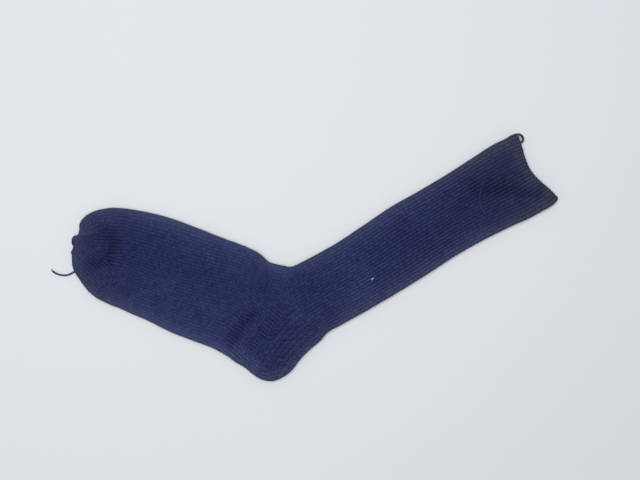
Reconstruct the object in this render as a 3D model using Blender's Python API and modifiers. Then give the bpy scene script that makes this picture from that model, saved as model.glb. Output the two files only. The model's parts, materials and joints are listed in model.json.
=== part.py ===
"""A long hand-knitted wool sock, laid flat on its side with its yarn ends loose.

The frame is in metres with +Z up. The sock lies on z = 0 with its toe towards -X
and its cuff towards +X. Its two layers lie on each other and meet at round side
folds, the toe is closed and the cuff is open. Sizes and places in the constants and
the tables are in mm, and MM turns them into metres.
"""
import math
from collections import namedtuple

import bmesh
import bpy
import numpy as np

OBJECT = "knitted_sock"
MM = 0.001

# The knitted cloth
WALL = 2.6                      # one layer of the knitting
FOLD_RADIUS = 3.1               # outside radius of the side folds and the toe fold
SHOULDER = 11.0                 # how far in from a fold the upper layer keeps rising
CORNER_WALL = 0.4               # share of the wall left at the two corners of the toe
CORNER_REACH = 16.0             # how far from a toe corner the wall is eased
BOW_POWER = 2.4                 # how blunt the bowed section lines are
SEAM_WELD = 0.01                # the layers' points meet within this at the toe's edge

# How finely the cloth is cut into faces
RINGS_PER_STEP = 2              # rings from one section to the next
TOE_RINGS = 5                   # rings in the first step, which turns the toe fold
ARC_STEPS = 3                   # faces over a quarter of a fold
ACROSS = 13                     # faces across the flat of one layer

# The yarn ends
YARN = 1.9                      # thickness of the tail and the curl
LOOP_YARN = 2.3                 # thickness of the loop, which is a cast-on stitch pulled slack
FLOOR_GAP = 0.05                # between the tail and the surface it lies on
YARN_SIDES = 2                  # bevel resolution of the yarn
TAIL_POINTS = 14
CURL_POINTS = 9
LOOP_POINTS = 11

# Sections from the toe to the cuff. x and y are the middle of a section in plan,
# turn is its direction from the back edge to the front edge in degrees, width is the
# flat sock's width there, rise is how far the middle of the upper layer stands over
# its folds, and bow is how far the section line bends to the toe.
Section = namedtuple("Section", "name x y turn width rise bow")
SECTIONS = (
    Section("toe end", -232.3, 4.5, 91.2, 78.0, 0.6, 15.6),
    Section("toe 1", -225.7, 3.8, 91.0, 87.5, 0.8, 15.0),
    Section("toe 2", -217.3, 2.8, 90.6, 94.3, 1.0, 12.5),
    Section("toe 3", -207.1, 1.6, 88.2, 99.6, 1.2, 9.0),
    Section("toe 4", -194.3, -0.9, 84.3, 102.3, 1.2, 5.0),
    Section("foot 1", -179.0, -5.3, 81.1, 105.3, 1.1, 2.0),
    Section("foot 2", -159.6, -11.8, 78.0, 107.6, 0.9, 0.0),
    Section("foot 3", -135.2, -22.2, 76.1, 110.1, 0.9, 0.0),
    Section("foot 4", -109.7, -32.1, 74.9, 109.8, 1.0, 0.0),
    Section("foot 5", -88.4, -40.2, 74.8, 110.0, 1.3, 0.0),
    Section("instep", -71.3, -49.8, 77.2, 113.6, 1.7, 0.0),
    Section("ankle 1", -57.6, -59.9, 80.9, 116.2, 1.9, -2.0),
    Section("ankle 2", -46.9, -65.4, 83.6, 119.4, 2.0, -1.0),
    Section("ankle 3", -36.7, -66.5, 86.5, 117.9, 2.0, 1.5),
    Section("ankle 4", -26.0, -62.7, 90.0, 108.6, 1.9, 6.0),
    Section("ankle 5", -15.3, -53.4, 94.3, 94.4, 1.6, 8.5),
    Section("ankle 6", -2.0, -43.2, 100.4, 84.6, 1.3, 6.5),
    Section("leg 1", 14.8, -31.9, 106.8, 77.8, 1.1, 3.5),
    Section("leg 2", 36.7, -19.5, 112.7, 76.5, 0.9, 1.0),
    Section("leg 3", 64.3, -2.4, 117.4, 77.6, 0.8, 0.0),
    Section("leg 4", 94.7, 17.2, 119.0, 78.7, 0.8, 0.0),
    Section("leg 5", 125.5, 36.0, 119.5, 76.7, 0.8, 0.0),
    Section("leg 6", 154.5, 52.7, 120.0, 77.4, 0.8, 0.0),
    Section("cuff 1", 180.5, 67.5, 119.4, 81.0, 0.9, 1.5),
    Section("cuff 2", 203.0, 79.8, 119.7, 84.3, 1.0, 4.5),
    Section("mouth", 226.8, 93.4, 123.3, 78.8, 1.1, 7.2),
)

# Soft ridges and troughs of the upper layer: a line in plan, the distance over
# which it fades, and its height, below nought for a trough.
Crease = namedtuple("Crease", "name line fade height")
CREASES = (
    Crease("gathered toe", ((-231, 14), (-222, 8)), 10.0, 1.2),
    Crease("trough round the gather",
           ((-217, 34), (-208, 22), (-206, 8), (-212, -3), (-226, -8)), 6.5, -1.1),
    Crease("first heel trough", ((-63, -49), (-77, -68), (-87, -82)), 7.0, -1.3),
    Crease("gusset ridge", ((-52, -58), (-66, -74), (-76, -88)), 5.0, 1.0),
    Crease("second heel trough", ((-41, -60), (-51, -75), (-61, -89)), 6.0, -1.3),
    Crease("heel cup", ((-45, -108), (-36, -106)), 13.0, 0.8),
    Crease("front of the ankle", ((-34, -17), (-31, -38)), 7.0, -0.7),
)

# Places where the knitting is drawn in or let out: each moves the cloth by x_shift
# and y_shift at its middle and fades out over its reach.
Pull = namedtuple("Pull", "name x y reach x_shift y_shift")
PULLS = (
    Pull("closed toe drawn in", -243.5, 25.0, 5.5, 2.7, 0.0),
    Pull("instep pinch", -46.0, -2.5, 6.0, -0.4, -0.5),
    Pull("end of the heel turn", -72.0, -112.0, 7.0, 0.8, 1.0),
    Pull("top of the heel flap", 13.5, -76.0, 9.0, -1.2, 1.8),
    Pull("cuff let out at the back", 239.0, 70.0, 9.0, 0.8, 0.8),
)

# The sock lifts where its yarn end comes out from under the toe
Lift = namedtuple("Lift", "x y reach height")
TAIL_LIFT = Lift(-243.0, -12.0, 8.5, 2.9)

# Routes of the yarn: the tail in plan, as it lies on the surface, and the others with
# their height
TAIL_ROUTE = (
    (-241.2, -10.4), (-243.6, -12.0), (-246.0, -13.6), (-248.8, -15.3),
    (-251.7, -16.8), (-254.4, -17.7), (-257.2, -18.0), (-260.0, -17.8),
    (-262.8, -17.2), (-265.4, -16.2), (-267.8, -14.8), (-270.0, -12.9),
)
TOE_CURL_ROUTE = (
    (-243.6, 25.0, 3.3), (-245.2, 24.3, 3.3), (-246.9, 22.4, 3.6),
    (-247.8, 19.7, 4.4), (-247.5, 16.7, 5.7), (-246.3, 13.9, 7.0),
    (-244.5, 11.7, 7.6),
)
CUFF_LOOP_ROUTE = (
    (206.2, 126.2, 4.6), (208.3, 126.0, 4.0), (210.5, 124.8, 3.2),
    (211.9, 122.6, 2.7), (211.8, 120.2, 3.0), (210.3, 118.4, 3.7),
    (208.0, 117.8, 4.2),
)

NAVY_WOOL = (0.020, 0.022, 0.088)
YARN_NAVY = (0.017, 0.019, 0.070)
CLOTH_ROUGHNESS = 0.95
YARN_ROUGHNESS = 0.9


def spline(rows, places):
    """Read rows of values at places, which count from 0, along a smooth curve."""
    table = np.array(rows, dtype=float)
    first = 2 * table[0] - table[1]
    last = 2 * table[-1] - table[-2]
    table = np.vstack([first, table, last])
    found = []
    for place in places:
        step = min(int(place), len(rows) - 2)
        t = place - step
        before, start, end, after = table[step:step + 4]
        found.append(0.5 * (2 * start + (end - before) * t
                            + (2 * before - 5 * start + 4 * end - after) * t ** 2
                            + (3 * start - before - 3 * end + after) * t ** 3))
    return np.array(found)


def section_places():
    """Where the rings stand, counted in sections, closer together at the toe fold."""
    toe = [(step / TOE_RINGS) ** 2 for step in range(TOE_RINGS)]
    rest = np.linspace(1, len(SECTIONS) - 1, (len(SECTIONS) - 2) * RINGS_PER_STEP + 1)
    return np.array(toe + list(rest))


def bow_shape(share):
    """The bend of a section line: 0 at its ends and 1 at its furthest point."""
    return 1 - abs(2 * share - 1) ** BOW_POWER


def plan_points(section, shares):
    """Points of a section line in plan; shares run from the front to the back edge."""
    x, y, turn, width, _, bow = section
    angle = math.radians(turn)
    to_front = np.array([math.cos(angle), math.sin(angle)])
    to_cuff = np.array([math.sin(angle), -math.cos(angle)])
    across = np.outer((0.5 - shares) * width, to_front)
    bent = np.outer(-bow * bow_shape(shares), to_cuff)
    points = np.array([x, y]) + across + bent
    for pull in PULLS:
        gap = np.linalg.norm(points - [pull.x, pull.y], axis=1)
        shift = np.array([pull.x_shift, pull.y_shift])
        points = points + np.outer(np.exp(-(gap / pull.reach) ** 2), shift)
    return points


def distance_to_line(points, line):
    """Distance in plan from each point to a line of straight runs."""
    nearest = np.full(len(points), np.inf)
    for start, end in zip(line, line[1:]):
        start = np.array(start, dtype=float)
        run = np.array(end, dtype=float) - start
        along = np.clip((points - start) @ run / (run @ run), 0, 1)
        gap = np.linalg.norm(points - start - np.outer(along, run), axis=1)
        nearest = np.minimum(nearest, gap)
    return nearest


def crease_height(points):
    """Height that the creases add to the upper layer."""
    height = np.zeros(len(points))
    for crease in CREASES:
        gap = distance_to_line(points, crease.line)
        height += crease.height * np.exp(-(gap / crease.fade) ** 2)
    return height


def toe_inset(points, shares):
    """How far each point lies inside the toe's outline."""
    toe_end = SECTIONS[0][1:]
    nudge = 0.001
    toe = plan_points(toe_end, shares)
    ahead = plan_points(toe_end, np.clip(shares + nudge, 0, 1))
    behind = plan_points(toe_end, np.clip(shares - nudge, 0, 1))
    run = ahead - behind
    run /= np.linalg.norm(run, axis=1, keepdims=True)
    inward = np.column_stack([-run[:, 1], run[:, 0]])
    return np.maximum(((points - toe) * inward).sum(axis=1), 0)


def section_ring(section):
    """One closed ring of the cloth's outside, round the upper and the lower layer."""
    width = section[3]
    rise = section[4]
    arc = np.radians(np.linspace(0, 90, ARC_STEPS + 1))
    edge = FOLD_RADIUS * (1 - np.cos(arc)) / width
    lift = np.sin(arc)
    flat = np.linspace(edge[-1], 1 - edge[-1], ACROSS + 1)[1:-1]
    shares = np.concatenate([edge, flat, 1 - edge[::-1]])
    fold = np.concatenate([lift, np.ones(ACROSS - 1), lift[::-1]])
    points = plan_points(section, shares)
    inset = toe_inset(points, shares)
    turn_in = np.minimum(inset, FOLD_RADIUS)
    toe_fold = np.sqrt(np.maximum(1 - (1 - turn_in / FOLD_RADIUS) ** 2, 0))
    side = np.minimum(shares, 1 - shares) * width
    ease = 1 - np.exp(-(side / SHOULDER) ** 2)
    ease *= 1 - np.exp(-(inset / SHOULDER) ** 2)
    half = FOLD_RADIUS * fold * toe_fold
    gap = np.hypot(points[:, 0] - TAIL_LIFT.x, points[:, 1] - TAIL_LIFT.y)
    raised = TAIL_LIFT.height * np.exp(-(gap / TAIL_LIFT.reach) ** 2)
    upper = FOLD_RADIUS + half + (rise + crease_height(points)) * ease + raised
    lower = FOLD_RADIUS - half + raised
    top = np.column_stack([points, upper])
    under = np.column_stack([points, lower])[-2:0:-1]
    return np.vstack([top, under]) * MM


def knitted_tube():
    """The sock's outside: rings from the toe fold to the open cuff."""
    mesh = bmesh.new()
    values = spline([row[1:] for row in SECTIONS], section_places())
    rings = []
    for section in values:
        rings.append([mesh.verts.new(point) for point in section_ring(section)])
    for near, far in zip(rings, rings[1:]):
        for step in range(len(near)):
            after = (step + 1) % len(near)
            mesh.faces.new((near[step], near[after], far[after], far[step]))
    bmesh.ops.remove_doubles(mesh, verts=rings[0], dist=SEAM_WELD * MM)
    return mesh


def ease_toe_corners(sock):
    """Thin the wall at the toe's two corners, where it folds over in two ways at once."""
    group = sock.vertex_groups.new(name="wall share")
    corners = plan_points(SECTIONS[0][1:], np.array([0.0, 1.0])) * MM
    for vertex in sock.data.vertices:
        gap = min(math.dist(vertex.co[:2], corner) for corner in corners)
        thinned = (1 - CORNER_WALL) * math.exp(-(gap / (CORNER_REACH * MM)) ** 2)
        group.add([vertex.index], 1 - thinned, "REPLACE")
    return group.name


def wool(name, colour, roughness):
    """A plain material for one kind of yarn."""
    material = bpy.data.materials.new(name)
    material.use_nodes = True
    shader = material.node_tree.nodes["Principled BSDF"]
    shader.inputs["Base Color"].default_value = (*colour, 1)
    shader.inputs["Roughness"].default_value = roughness
    shader.inputs["Metallic"].default_value = 0
    return material


def make_sock(parts):
    """The whole knitted cloth: leg, heel, foot and toe in one piece."""
    mesh = bpy.data.meshes.new("sock")
    shell = knitted_tube()
    shell.to_mesh(mesh)
    shell.free()
    mesh.shade_smooth()
    sock = bpy.data.objects.new("sock", mesh)
    parts.objects.link(sock)
    thicken = sock.modifiers.new("wall", "SOLIDIFY")
    thicken.thickness = WALL * MM
    thicken.offset = -1
    thicken.use_rim = True
    thicken.vertex_group = ease_toe_corners(sock)
    sock.data.materials.append(wool("navy knit", NAVY_WOOL, CLOTH_ROUGHNESS))
    return sock


def make_yarn(parts, name, route, thickness):
    """A loose end of yarn, a tube along its route."""
    curve = bpy.data.curves.new(name, "CURVE")
    curve.dimensions = "3D"
    curve.bevel_depth = thickness / 2 * MM
    curve.bevel_resolution = YARN_SIDES
    curve.use_fill_caps = True
    line = curve.splines.new("POLY")
    line.points.add(len(route) - 1)
    for point, place in zip(line.points, route):
        point.co = (*place, 1)
    yarn = bpy.data.objects.new(name, curve)
    yarn.data.materials.append(wool(name + " yarn", YARN_NAVY, YARN_ROUGHNESS))
    parts.objects.link(yarn)
    return yarn


def smooth_route(points, count):
    """A smooth curve of count points through the route's own points, in metres."""
    places = np.linspace(0, len(points) - 1, count)
    return spline(points, places) * MM


def main():
    for thing in list(bpy.data.objects):
        bpy.data.objects.remove(thing)
    parts = bpy.data.collections.new(OBJECT)
    bpy.context.scene.collection.children.link(parts)
    make_sock(parts)
    tail = [(x, y, YARN / 2 + FLOOR_GAP) for x, y in TAIL_ROUTE]
    make_yarn(parts, "toe_tail", smooth_route(tail, TAIL_POINTS), YARN)
    make_yarn(parts, "toe_curl", smooth_route(TOE_CURL_ROUTE, CURL_POINTS), YARN)
    make_yarn(parts, "cuff_loop", smooth_route(CUFF_LOOP_ROUTE, LOOP_POINTS), LOOP_YARN)


main()
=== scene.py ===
"""A long hand-knitted wool sock, laid flat: the looks of its knitting and yarn ends.

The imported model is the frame, in metres with +Z up and the sock on z = 0, its toe
towards -X. Sizes and places in the tables are in mm. Each stretch of the knitting is a
thin closed shell on the form of the sock's solid, with every stitch in relief.
"""
import json
import math
from collections import namedtuple

import bpy
import numpy as np
from bpy.props import FloatProperty, FloatVectorProperty, PointerProperty
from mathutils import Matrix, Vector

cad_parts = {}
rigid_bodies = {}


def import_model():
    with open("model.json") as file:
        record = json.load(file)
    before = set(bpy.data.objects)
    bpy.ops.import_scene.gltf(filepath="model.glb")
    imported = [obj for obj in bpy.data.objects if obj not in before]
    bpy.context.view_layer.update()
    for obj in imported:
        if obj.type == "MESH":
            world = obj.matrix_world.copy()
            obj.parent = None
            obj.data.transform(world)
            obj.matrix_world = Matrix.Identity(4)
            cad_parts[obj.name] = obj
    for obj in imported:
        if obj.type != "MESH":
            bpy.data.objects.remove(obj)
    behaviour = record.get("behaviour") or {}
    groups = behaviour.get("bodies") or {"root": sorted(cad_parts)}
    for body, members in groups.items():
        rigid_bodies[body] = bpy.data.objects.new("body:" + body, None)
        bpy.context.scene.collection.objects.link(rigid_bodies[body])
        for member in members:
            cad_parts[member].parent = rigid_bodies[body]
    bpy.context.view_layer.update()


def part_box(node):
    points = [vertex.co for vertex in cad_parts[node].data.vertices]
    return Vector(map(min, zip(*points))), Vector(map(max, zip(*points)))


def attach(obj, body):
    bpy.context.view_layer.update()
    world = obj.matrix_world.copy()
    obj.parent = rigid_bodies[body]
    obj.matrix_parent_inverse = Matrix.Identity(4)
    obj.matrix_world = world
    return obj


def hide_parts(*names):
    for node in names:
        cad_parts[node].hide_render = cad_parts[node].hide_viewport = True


bl_info = {
    "name": "Knitted sock",
    "version": (1, 0, 0),
    "blender": (4, 5, 0),
    "location": "3D View > Sidebar > Sock",
    "description": "Makes a long hand-knitted wool sock that lies flat",
    "category": "Add Mesh",
}

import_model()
SOCK_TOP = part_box("sock")[1].z
OVER_SOCK = 0.01                # height over the sock from which its top is felt for
MM = 0.001

# ------------------------------------------------------------------ the sock's form

FOLD_RADIUS = 3.1               # outside radius of the side folds and the toe fold
FOLD_ARC = math.pi / 2 * FOLD_RADIUS
SHOULDER = 11.0                 # how far in from a fold the upper layer keeps rising
BOW_POWER = 2.4                 # how blunt the bowed section lines are

# Sections from the toe to the cuff. x and y are the middle of a section in plan, turn
# is its direction from the back edge to the front edge in degrees, width is the flat
# sock's width there, rise is how far the middle of the upper layer stands over its
# folds, and bow is how far the section line bends to the toe.
Section = namedtuple("Section", "name x y turn width rise bow")
SECTIONS = (
    Section("toe end", -232.3, 4.5, 91.2, 78.0, 0.6, 15.6),
    Section("toe 1", -225.7, 3.8, 91.0, 87.5, 0.8, 15.0),
    Section("toe 2", -217.3, 2.8, 90.6, 94.3, 1.0, 12.5),
    Section("toe 3", -207.1, 1.6, 88.2, 99.6, 1.2, 9.0),
    Section("toe 4", -194.3, -0.9, 84.3, 102.3, 1.2, 5.0),
    Section("foot 1", -179.0, -5.3, 81.1, 105.3, 1.1, 2.0),
    Section("foot 2", -159.6, -11.8, 78.0, 107.6, 0.9, 0.0),
    Section("foot 3", -135.2, -22.2, 76.1, 110.1, 0.9, 0.0),
    Section("foot 4", -109.7, -32.1, 74.9, 109.8, 1.0, 0.0),
    Section("foot 5", -88.4, -40.2, 74.8, 110.0, 1.3, 0.0),
    Section("instep", -71.3, -49.8, 77.2, 113.6, 1.7, 0.0),
    Section("ankle 1", -57.6, -59.9, 80.9, 116.2, 1.9, -2.0),
    Section("ankle 2", -46.9, -65.4, 83.6, 119.4, 2.0, -1.0),
    Section("ankle 3", -36.7, -66.5, 86.5, 117.9, 2.0, 1.5),
    Section("ankle 4", -26.0, -62.7, 90.0, 108.6, 1.9, 6.0),
    Section("ankle 5", -15.3, -53.4, 94.3, 94.4, 1.6, 8.5),
    Section("ankle 6", -2.0, -43.2, 100.4, 84.6, 1.3, 6.5),
    Section("leg 1", 14.8, -31.9, 106.8, 77.8, 1.1, 3.5),
    Section("leg 2", 36.7, -19.5, 112.7, 76.5, 0.9, 1.0),
    Section("leg 3", 64.3, -2.4, 117.4, 77.6, 0.8, 0.0),
    Section("leg 4", 94.7, 17.2, 119.0, 78.7, 0.8, 0.0),
    Section("leg 5", 125.5, 36.0, 119.5, 76.7, 0.8, 0.0),
    Section("leg 6", 154.5, 52.7, 120.0, 77.4, 0.8, 0.0),
    Section("cuff 1", 180.5, 67.5, 119.4, 81.0, 0.9, 1.5),
    Section("cuff 2", 203.0, 79.8, 119.7, 84.3, 1.0, 4.5),
    Section("mouth", 226.8, 93.4, 123.3, 78.8, 1.1, 7.2),
)
PLACE = {section.name: place for place, section in enumerate(SECTIONS)}

# Places where the knitting is drawn in or let out: each moves the cloth by x_shift
# and y_shift at its middle and fades out over its reach.
Pull = namedtuple("Pull", "name x y reach x_shift y_shift")
PULLS = (
    Pull("closed toe drawn in", -243.5, 27.5, 5.0, 2.6, 0.0),
    Pull("notch over the ear", -243.0, 23.9, 2.3, 1.6, 0.0),
    Pull("ear of the closed toe", -244.0, 18.6, 3.3, -3.3, 0.0),
    Pull("toe let out", -238.0, 38.0, 8.0, -1.2, 0.7),
    Pull("notch under the ear", -246.0, 11.0, 3.0, 1.0, 0.0),
    Pull("knot under the ear", -247.5, 6.2, 3.0, -1.3, 0.0),
    Pull("toe let out below the ear", -247.5, -2.5, 8.0, -0.9, 0.0),
    Pull("toe drawn in by the yarn end", -241.0, -20.0, 8.0, 0.5, 0.4),
    Pull("instep pinch", -46.0, -2.5, 6.0, -0.4, -0.5),
    Pull("end of the heel turn", -72.0, -112.0, 7.0, 0.8, 1.0),
    Pull("top of the heel flap", 13.5, -76.0, 9.0, -1.2, 1.8),
    Pull("cuff let out at the back", 239.0, 70.0, 9.0, 0.8, 0.8),
    Pull("cuff let out below the back", 241.5, 54.0, 11.0, 1.3, -1.4),
    Pull("mouth drawn in", 221.0, 91.0, 13.0, -1.9, -1.0),
    Pull("front corner of the cuff", 199.5, 125.5, 5.0, -0.4, 1.5),
    Pull("mouth let out at the front", 208.5, 119.0, 6.0, 1.6, 0.0),
    Pull("mouth let out below the loop", 211.0, 110.5, 4.5, 1.0, 0.4),
    Pull("back corner of the cuff", 248.8, 59.2, 2.4, -1.1, 0.5),
)

# Soft ridges and troughs of the upper layer: each has a line in plan, the distance over
# which it fades, and its height, below nought for a trough.
Crease = namedtuple("Crease", "name line fade height")
CREASES = (
    Crease("gathered toe", ((-231, 14), (-222, 8)), 10.0, 1.2),
    Crease("trough round the gather",
           ((-220, 30), (-210, 23), (-203.5, 15), (-207, 4), (-209, -4), (-226, -6)),
           6.0, -1.6),
    Crease("first heel trough", ((-61, -57), (-74, -70), (-86, -83)), 6.5, -2.0),
    Crease("gusset ridge", ((-52, -58), (-66, -74), (-76, -88)), 5.0, 1.1),
    Crease("second heel trough", ((-41, -60), (-51, -75), (-61, -89)), 6.0, -1.1),
    Crease("heel cup", ((-45, -108), (-36, -106)), 13.0, 0.8),
    Crease("hollow of the flap", ((-40, -84), (-28, -86)), 9.0, -0.6),
    Crease("hollow at the cuff", ((160, 72), (193, 68), (224, 66)), 8.5, -0.9),
    Crease("slack of the cuff", ((186, 84), (205, 84)), 13.0, -0.6),
    Crease("front of the ankle", ((-34, -17), (-31, -38)), 7.0, -0.9),
    Crease("hollow below the gather", ((-229, -22), (-219, -27)), 6.0, -0.8),
    Crease("decreases of the gusset", ((-52, -58), (-70, -88)), 3.5, 0.5),
    Crease("picked-up edge", ((-23, -50), (-34, -62), (-60, -91), (-64, -98)), 1.5, 0.6),
)

# Painted shade and painted light on the wool: darker where shade falls in the troughs and over
# the middles of the layers, and lighter where light catches ridges and edges. Each is a line
# in plan, the distance over which that fades, and how much of its light is lost there, below
# nought where it gains light.
Shade = namedtuple("Shade", "name line fade loss")
SHADES = (
    Shade("round the gather",
          ((-213, 26), (-208, 21), (-204, 15), (-208, 4), (-210, -4), (-225, -6)),
          6.5, 0.34),
    Shade("down the foot", ((-212, 24), (-170, 4), (-118, -14), (-66, -22)), 24.0, 0.22),
    Shade("lower toe", ((-224, -20), (-190, -10)), 28.0, 0.12),
    Shade("first heel trough", ((-64, -57), (-76, -71), (-87, -87)), 6.0, 0.3),
    Shade("heel flap", ((-4, -78), (-32, -98)), 20.0, 0.15),
    Shade("gusset", ((-43, -62), (-62, -86)), 15.0, 0.15),
    Shade("front of the gusset", ((-47, -32), (-39, -52), (-43, -76)), 8.0, 0.1),
    Shade("ankle", ((-14, -26), (8, -42), (10, -66)), 15.0, 0.13),
    Shade("bottom of the leg", ((10, -28), (28, -24)), 8.0, 0.1),
    Shade("up the leg", ((60, -8), (150, 52)), 17.0, 0.1),
    Shade("back of the leg", ((90, 30), (125, 14)), 14.0, 0.09),
    Shade("toe's edge", ((-246, 10), (-246, -10)), 6.0, 0.12),
    Shade("lower edge of the toe", ((-245, -20), (-228, -42), (-205, -58)), 8.0, 0.1),
    Shade("back corner of the cuff", ((246, 62), (236, 52)), 9.0, 0.1),
    Shade("whole cuff", ((165, 62), (195, 77)), 33.0, 0.2),
    Shade("cuff trough", ((162, 70), (190, 69), (226, 66)), 8.0, 0.28),
    Shade("back of the cuff", ((180, 34), (222, 48)), 9.0, 0.08),
    Shade("rubbed sole",
          ((-232, -33), (-210, -42), (-179, -53), (-154, -66), (-120, -82), (-84, -96)),
          12.0, -0.17),
    Shade("rubbed top of the toe", ((-234, 31), (-212, 34)), 9.0, -0.13),
    Shade("rubbed foot", ((-120, 8), (-106, 2)), 8.0, -0.1),
    Shade("rubbed instep", ((-84, -6), (-62, -16)), 10.0, -0.19),
    Shade("rubbed flap", ((-6, -67), (8, -73)), 7.0, -0.13),
    Shade("rubbed back of the ankle", ((42, -38), (62, -18)), 9.0, -0.17),
    Shade("rubbed cuff", ((204, 58), (226, 84)), 11.0, -0.1),
    Shade("rubbed inside the mouth", ((199, 108), (206, 85), (230, 60)), 7.0, -0.08),
    Shade("rubbed line of the gusset", ((-52, -58), (-70, -88)), 2.6, -0.1),
    Shade("rubbed picked-up edge", ((-31, -60), (-58, -90)), 1.3, -0.24),
    Shade("rubbed turn of the heel", ((-74, -93), (-62, -108)), 6.0, -0.22),
)

# The sock lifts where its yarn end comes out from under the toe
Lift = namedtuple("Lift", "x y reach height")
TAIL_LIFT = Lift(-243.0, -12.0, 8.5, 2.9)

# Thickness of the yarn, and its routes in plan with their height over the floor
YARN = 1.9
LOOP_YARN = 2.3                 # the loop is a cast-on stitch pulled slack
TAIL_HEIGHT = YARN / 2 + 0.05
YARN_STEP = 0.28                # between the rings of a yarn's mesh
YARN_SIDES = 24
MEASURED_PER_POINT = 40         # places for each point at which a route is measured
TAIL_ROUTE = (
    (-241.2, -10.4), (-243.6, -12.0), (-246.0, -13.6), (-248.8, -15.3),
    (-251.7, -16.8), (-254.4, -17.7), (-257.2, -18.0), (-260.0, -17.8),
    (-262.8, -17.2), (-265.4, -16.2), (-267.8, -14.8), (-270.0, -12.9),
)
TOE_CURL_ROUTE = (
    (-241.2, 22.4, 3.3), (-243.3, 22.4, 3.3), (-245.4, 21.8, 3.6),
    (-246.8, 20.0, 4.4), (-246.8, 17.4, 5.7), (-246.0, 14.8, 7.0),
    (-244.8, 12.4, 7.6),
)
CUFF_LOOP_ROUTE = (
    (197.5, 122.6, 5.6), (201.5, 124.6, 5.4), (205.0, 125.6, 4.8),
    (208.2, 125.5, 4.0), (210.5, 124.3, 3.2), (211.8, 122.0, 2.8),
    (211.6, 119.7, 2.9), (210.0, 118.0, 3.6), (207.8, 117.4, 4.4),
    (205.0, 117.8, 5.4), (202.5, 118.8, 6.0),
)

# ------------------------------------------------------------------ the knitting

STITCHES = 68                   # stitches in a round of the foot
RIBS = 48                       # ribs in a round of the leg
RIB_LEAN = 0.6                  # share of the stitches' lean that the ribs have
COURSE = 2.45                   # height of one course of stitches
COLUMNS_PER_STITCH = 6
ROWS_PER_COURSE = 4
MEASURED_PLACES = 800           # at which a stretch's length is measured
COLUMNS = STITCHES * COLUMNS_PER_STITCH
LINING_STEP = 6                 # columns of the outside for one of the inside
MOUTH_PLACE = PLACE["mouth"] - 0.04
ROLL_ROWS = 6                   # rows that turn the cast-on edge over
ROLL_REACH = 0.9                # how far the turned edge stands past the last row,
ROLL_AT_RIB = 0.15              # how much more on the crest of a rib,
ROLL_CHANCE = 0.1               # and how much more at some stitches

# How the cloth and its stitches wander: by how much, over about how many mm, and the
# seed of its chance
Wander = namedtuple("Wander", "amount size seed")
LEAN = Wander(0.1, 26, 1)               # columns of stitches, in stitches aside
SWAY = Wander(0.3, 22, 2)               # rows of stitches, in rows along
TURN_LEAN = Wander(0.35, 7, 3)          # the same two where the heel is turned
TURN_SWAY = Wander(0.6, 6, 4)
TENSION = Wander(0.3, 11, 5)            # how tightly the stitches are drawn
SHOWING = Wander(0.25, 38, 6)           # how much of them shows
SWELLS = (Wander(0.35, 34, 11), Wander(0.2, 13, 12))    # height of the upper layer
CHANCE_ROUND = 230.0            # about how far it is round the tube
CHANCE_LENGTH = 900.0           # more than the length of the tube

# Each stretch is knitted between two places, counted in sections. guide is the share
# across, from the front edge, at which its courses are their full height.
Stretch = namedtuple("Stretch", "name start end guide")
STRETCHES = (
    Stretch("toe", PLACE["toe end"], PLACE["foot 1"], 0.5),
    Stretch("foot", PLACE["foot 1"], PLACE["foot 5"], 0.5),
    Stretch("gusset", PLACE["foot 5"], PLACE["ankle 3"], 0.85),
    Stretch("heel", PLACE["ankle 3"], PLACE["leg 1"], 0.8),
    Stretch("lower_leg", PLACE["leg 1"], 19.55, 0.5),
    Stretch("upper_leg", 19.55, 22.2, 0.5),
    Stretch("cuff", 22.2, MOUTH_PLACE, 0.5),
)

# Where the rib ends: down the front of the ankle, along the edge that was picked up
# from the heel flap, and across the end of the flap
RIB_END = ((-27.0, -4.0), (-34.2, -18.6), (-33.5, -35.0), (-30.5, -46.0),
           (-26.0, -53.0), (-33.8, -62.4), (-60.3, -91.5), (-63.8, -97.7),
           (-38.7, -126.2))
PICKED_UP = RIB_END[4:8]
FLAP_TOP = ((-20.9, -49.2), (12.8, -88.9))      # the flap's first row
FLAP_FRONT = ((-5.0, -28.0), (-26.0, -53.0), (-60.3, -91.5), (-80.0, -113.0))
FLAP_BACK = ((30.1, -57.4), (9.7, -78.7), (-31.1, -121.3), (-50.0, -141.0))
FLAP_RIBS = 8.2                 # slipped ribs of the flap in one layer
FLAP_BULGE = 0.0036             # how much the ribs of the flap bow to the ankle
FLAP_SWAY = 0.3                 # share of the rows' sway that its ribs have
FLAP_SHARE = 0.3                # share across past which the flap and the gusset lie
FLAP_COURSE = 2.1               # from one row of the flap to the next
FLAP_ROW = 7.0                  # direction of its rows, in degrees

# The gusset: its stitches start square to the picked-up edge and bend to the foot
GUSSET_EDGE = ((-21.0, -49.0), (-55.0, -56.0), (-72.0, -53.0), (-90.0, -78.0),
               (-100.0, -112.0))
GUSSET_WALE = 3.65
GUSSET_BEND = (12.0, 35.0)      # distances from the picked-up edge at which they bend
GUSSET_LEAN = 0.41              # and how much they lean by the end of it
DECREASES = ((-51.5, -58.0), (-71.0, -89.0))    # where stitches are knitted together,
DECREASES_REACH = 4.6           # which shows as lines on both sides of it
DECREASES_WALE = 3.1
HEEL_TURN_TOP = -95.0           # y below which the heel is turned
HEEL_TURN_LEFT = -74.0          # and the x that it reaches

# The toe's decreases: wedges round the drawn-together stitches. Each is the angles
# that it spans and the direction in which its stitches run, in degrees, how far it
# reaches, and how much of its stitches shows.
GATHER = (-227.0, 14.0)
Wedge = namedtuple("Wedge", "name start end run reach shows")
WEDGES = (
    Wedge("towards the foot", -28, 48, -2, 36, 1.1),
    Wedge("below that", -46, -28, -14, 36, 1.0),
    Wedge("lower right", -122, -46, -43, 38, 0.8),
    Wedge("lower left", -168, -122, -125, 40, 0.7),
    Wedge("towards the toe's edge", 165, 192, 172, 40, 0.3),
)
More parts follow.
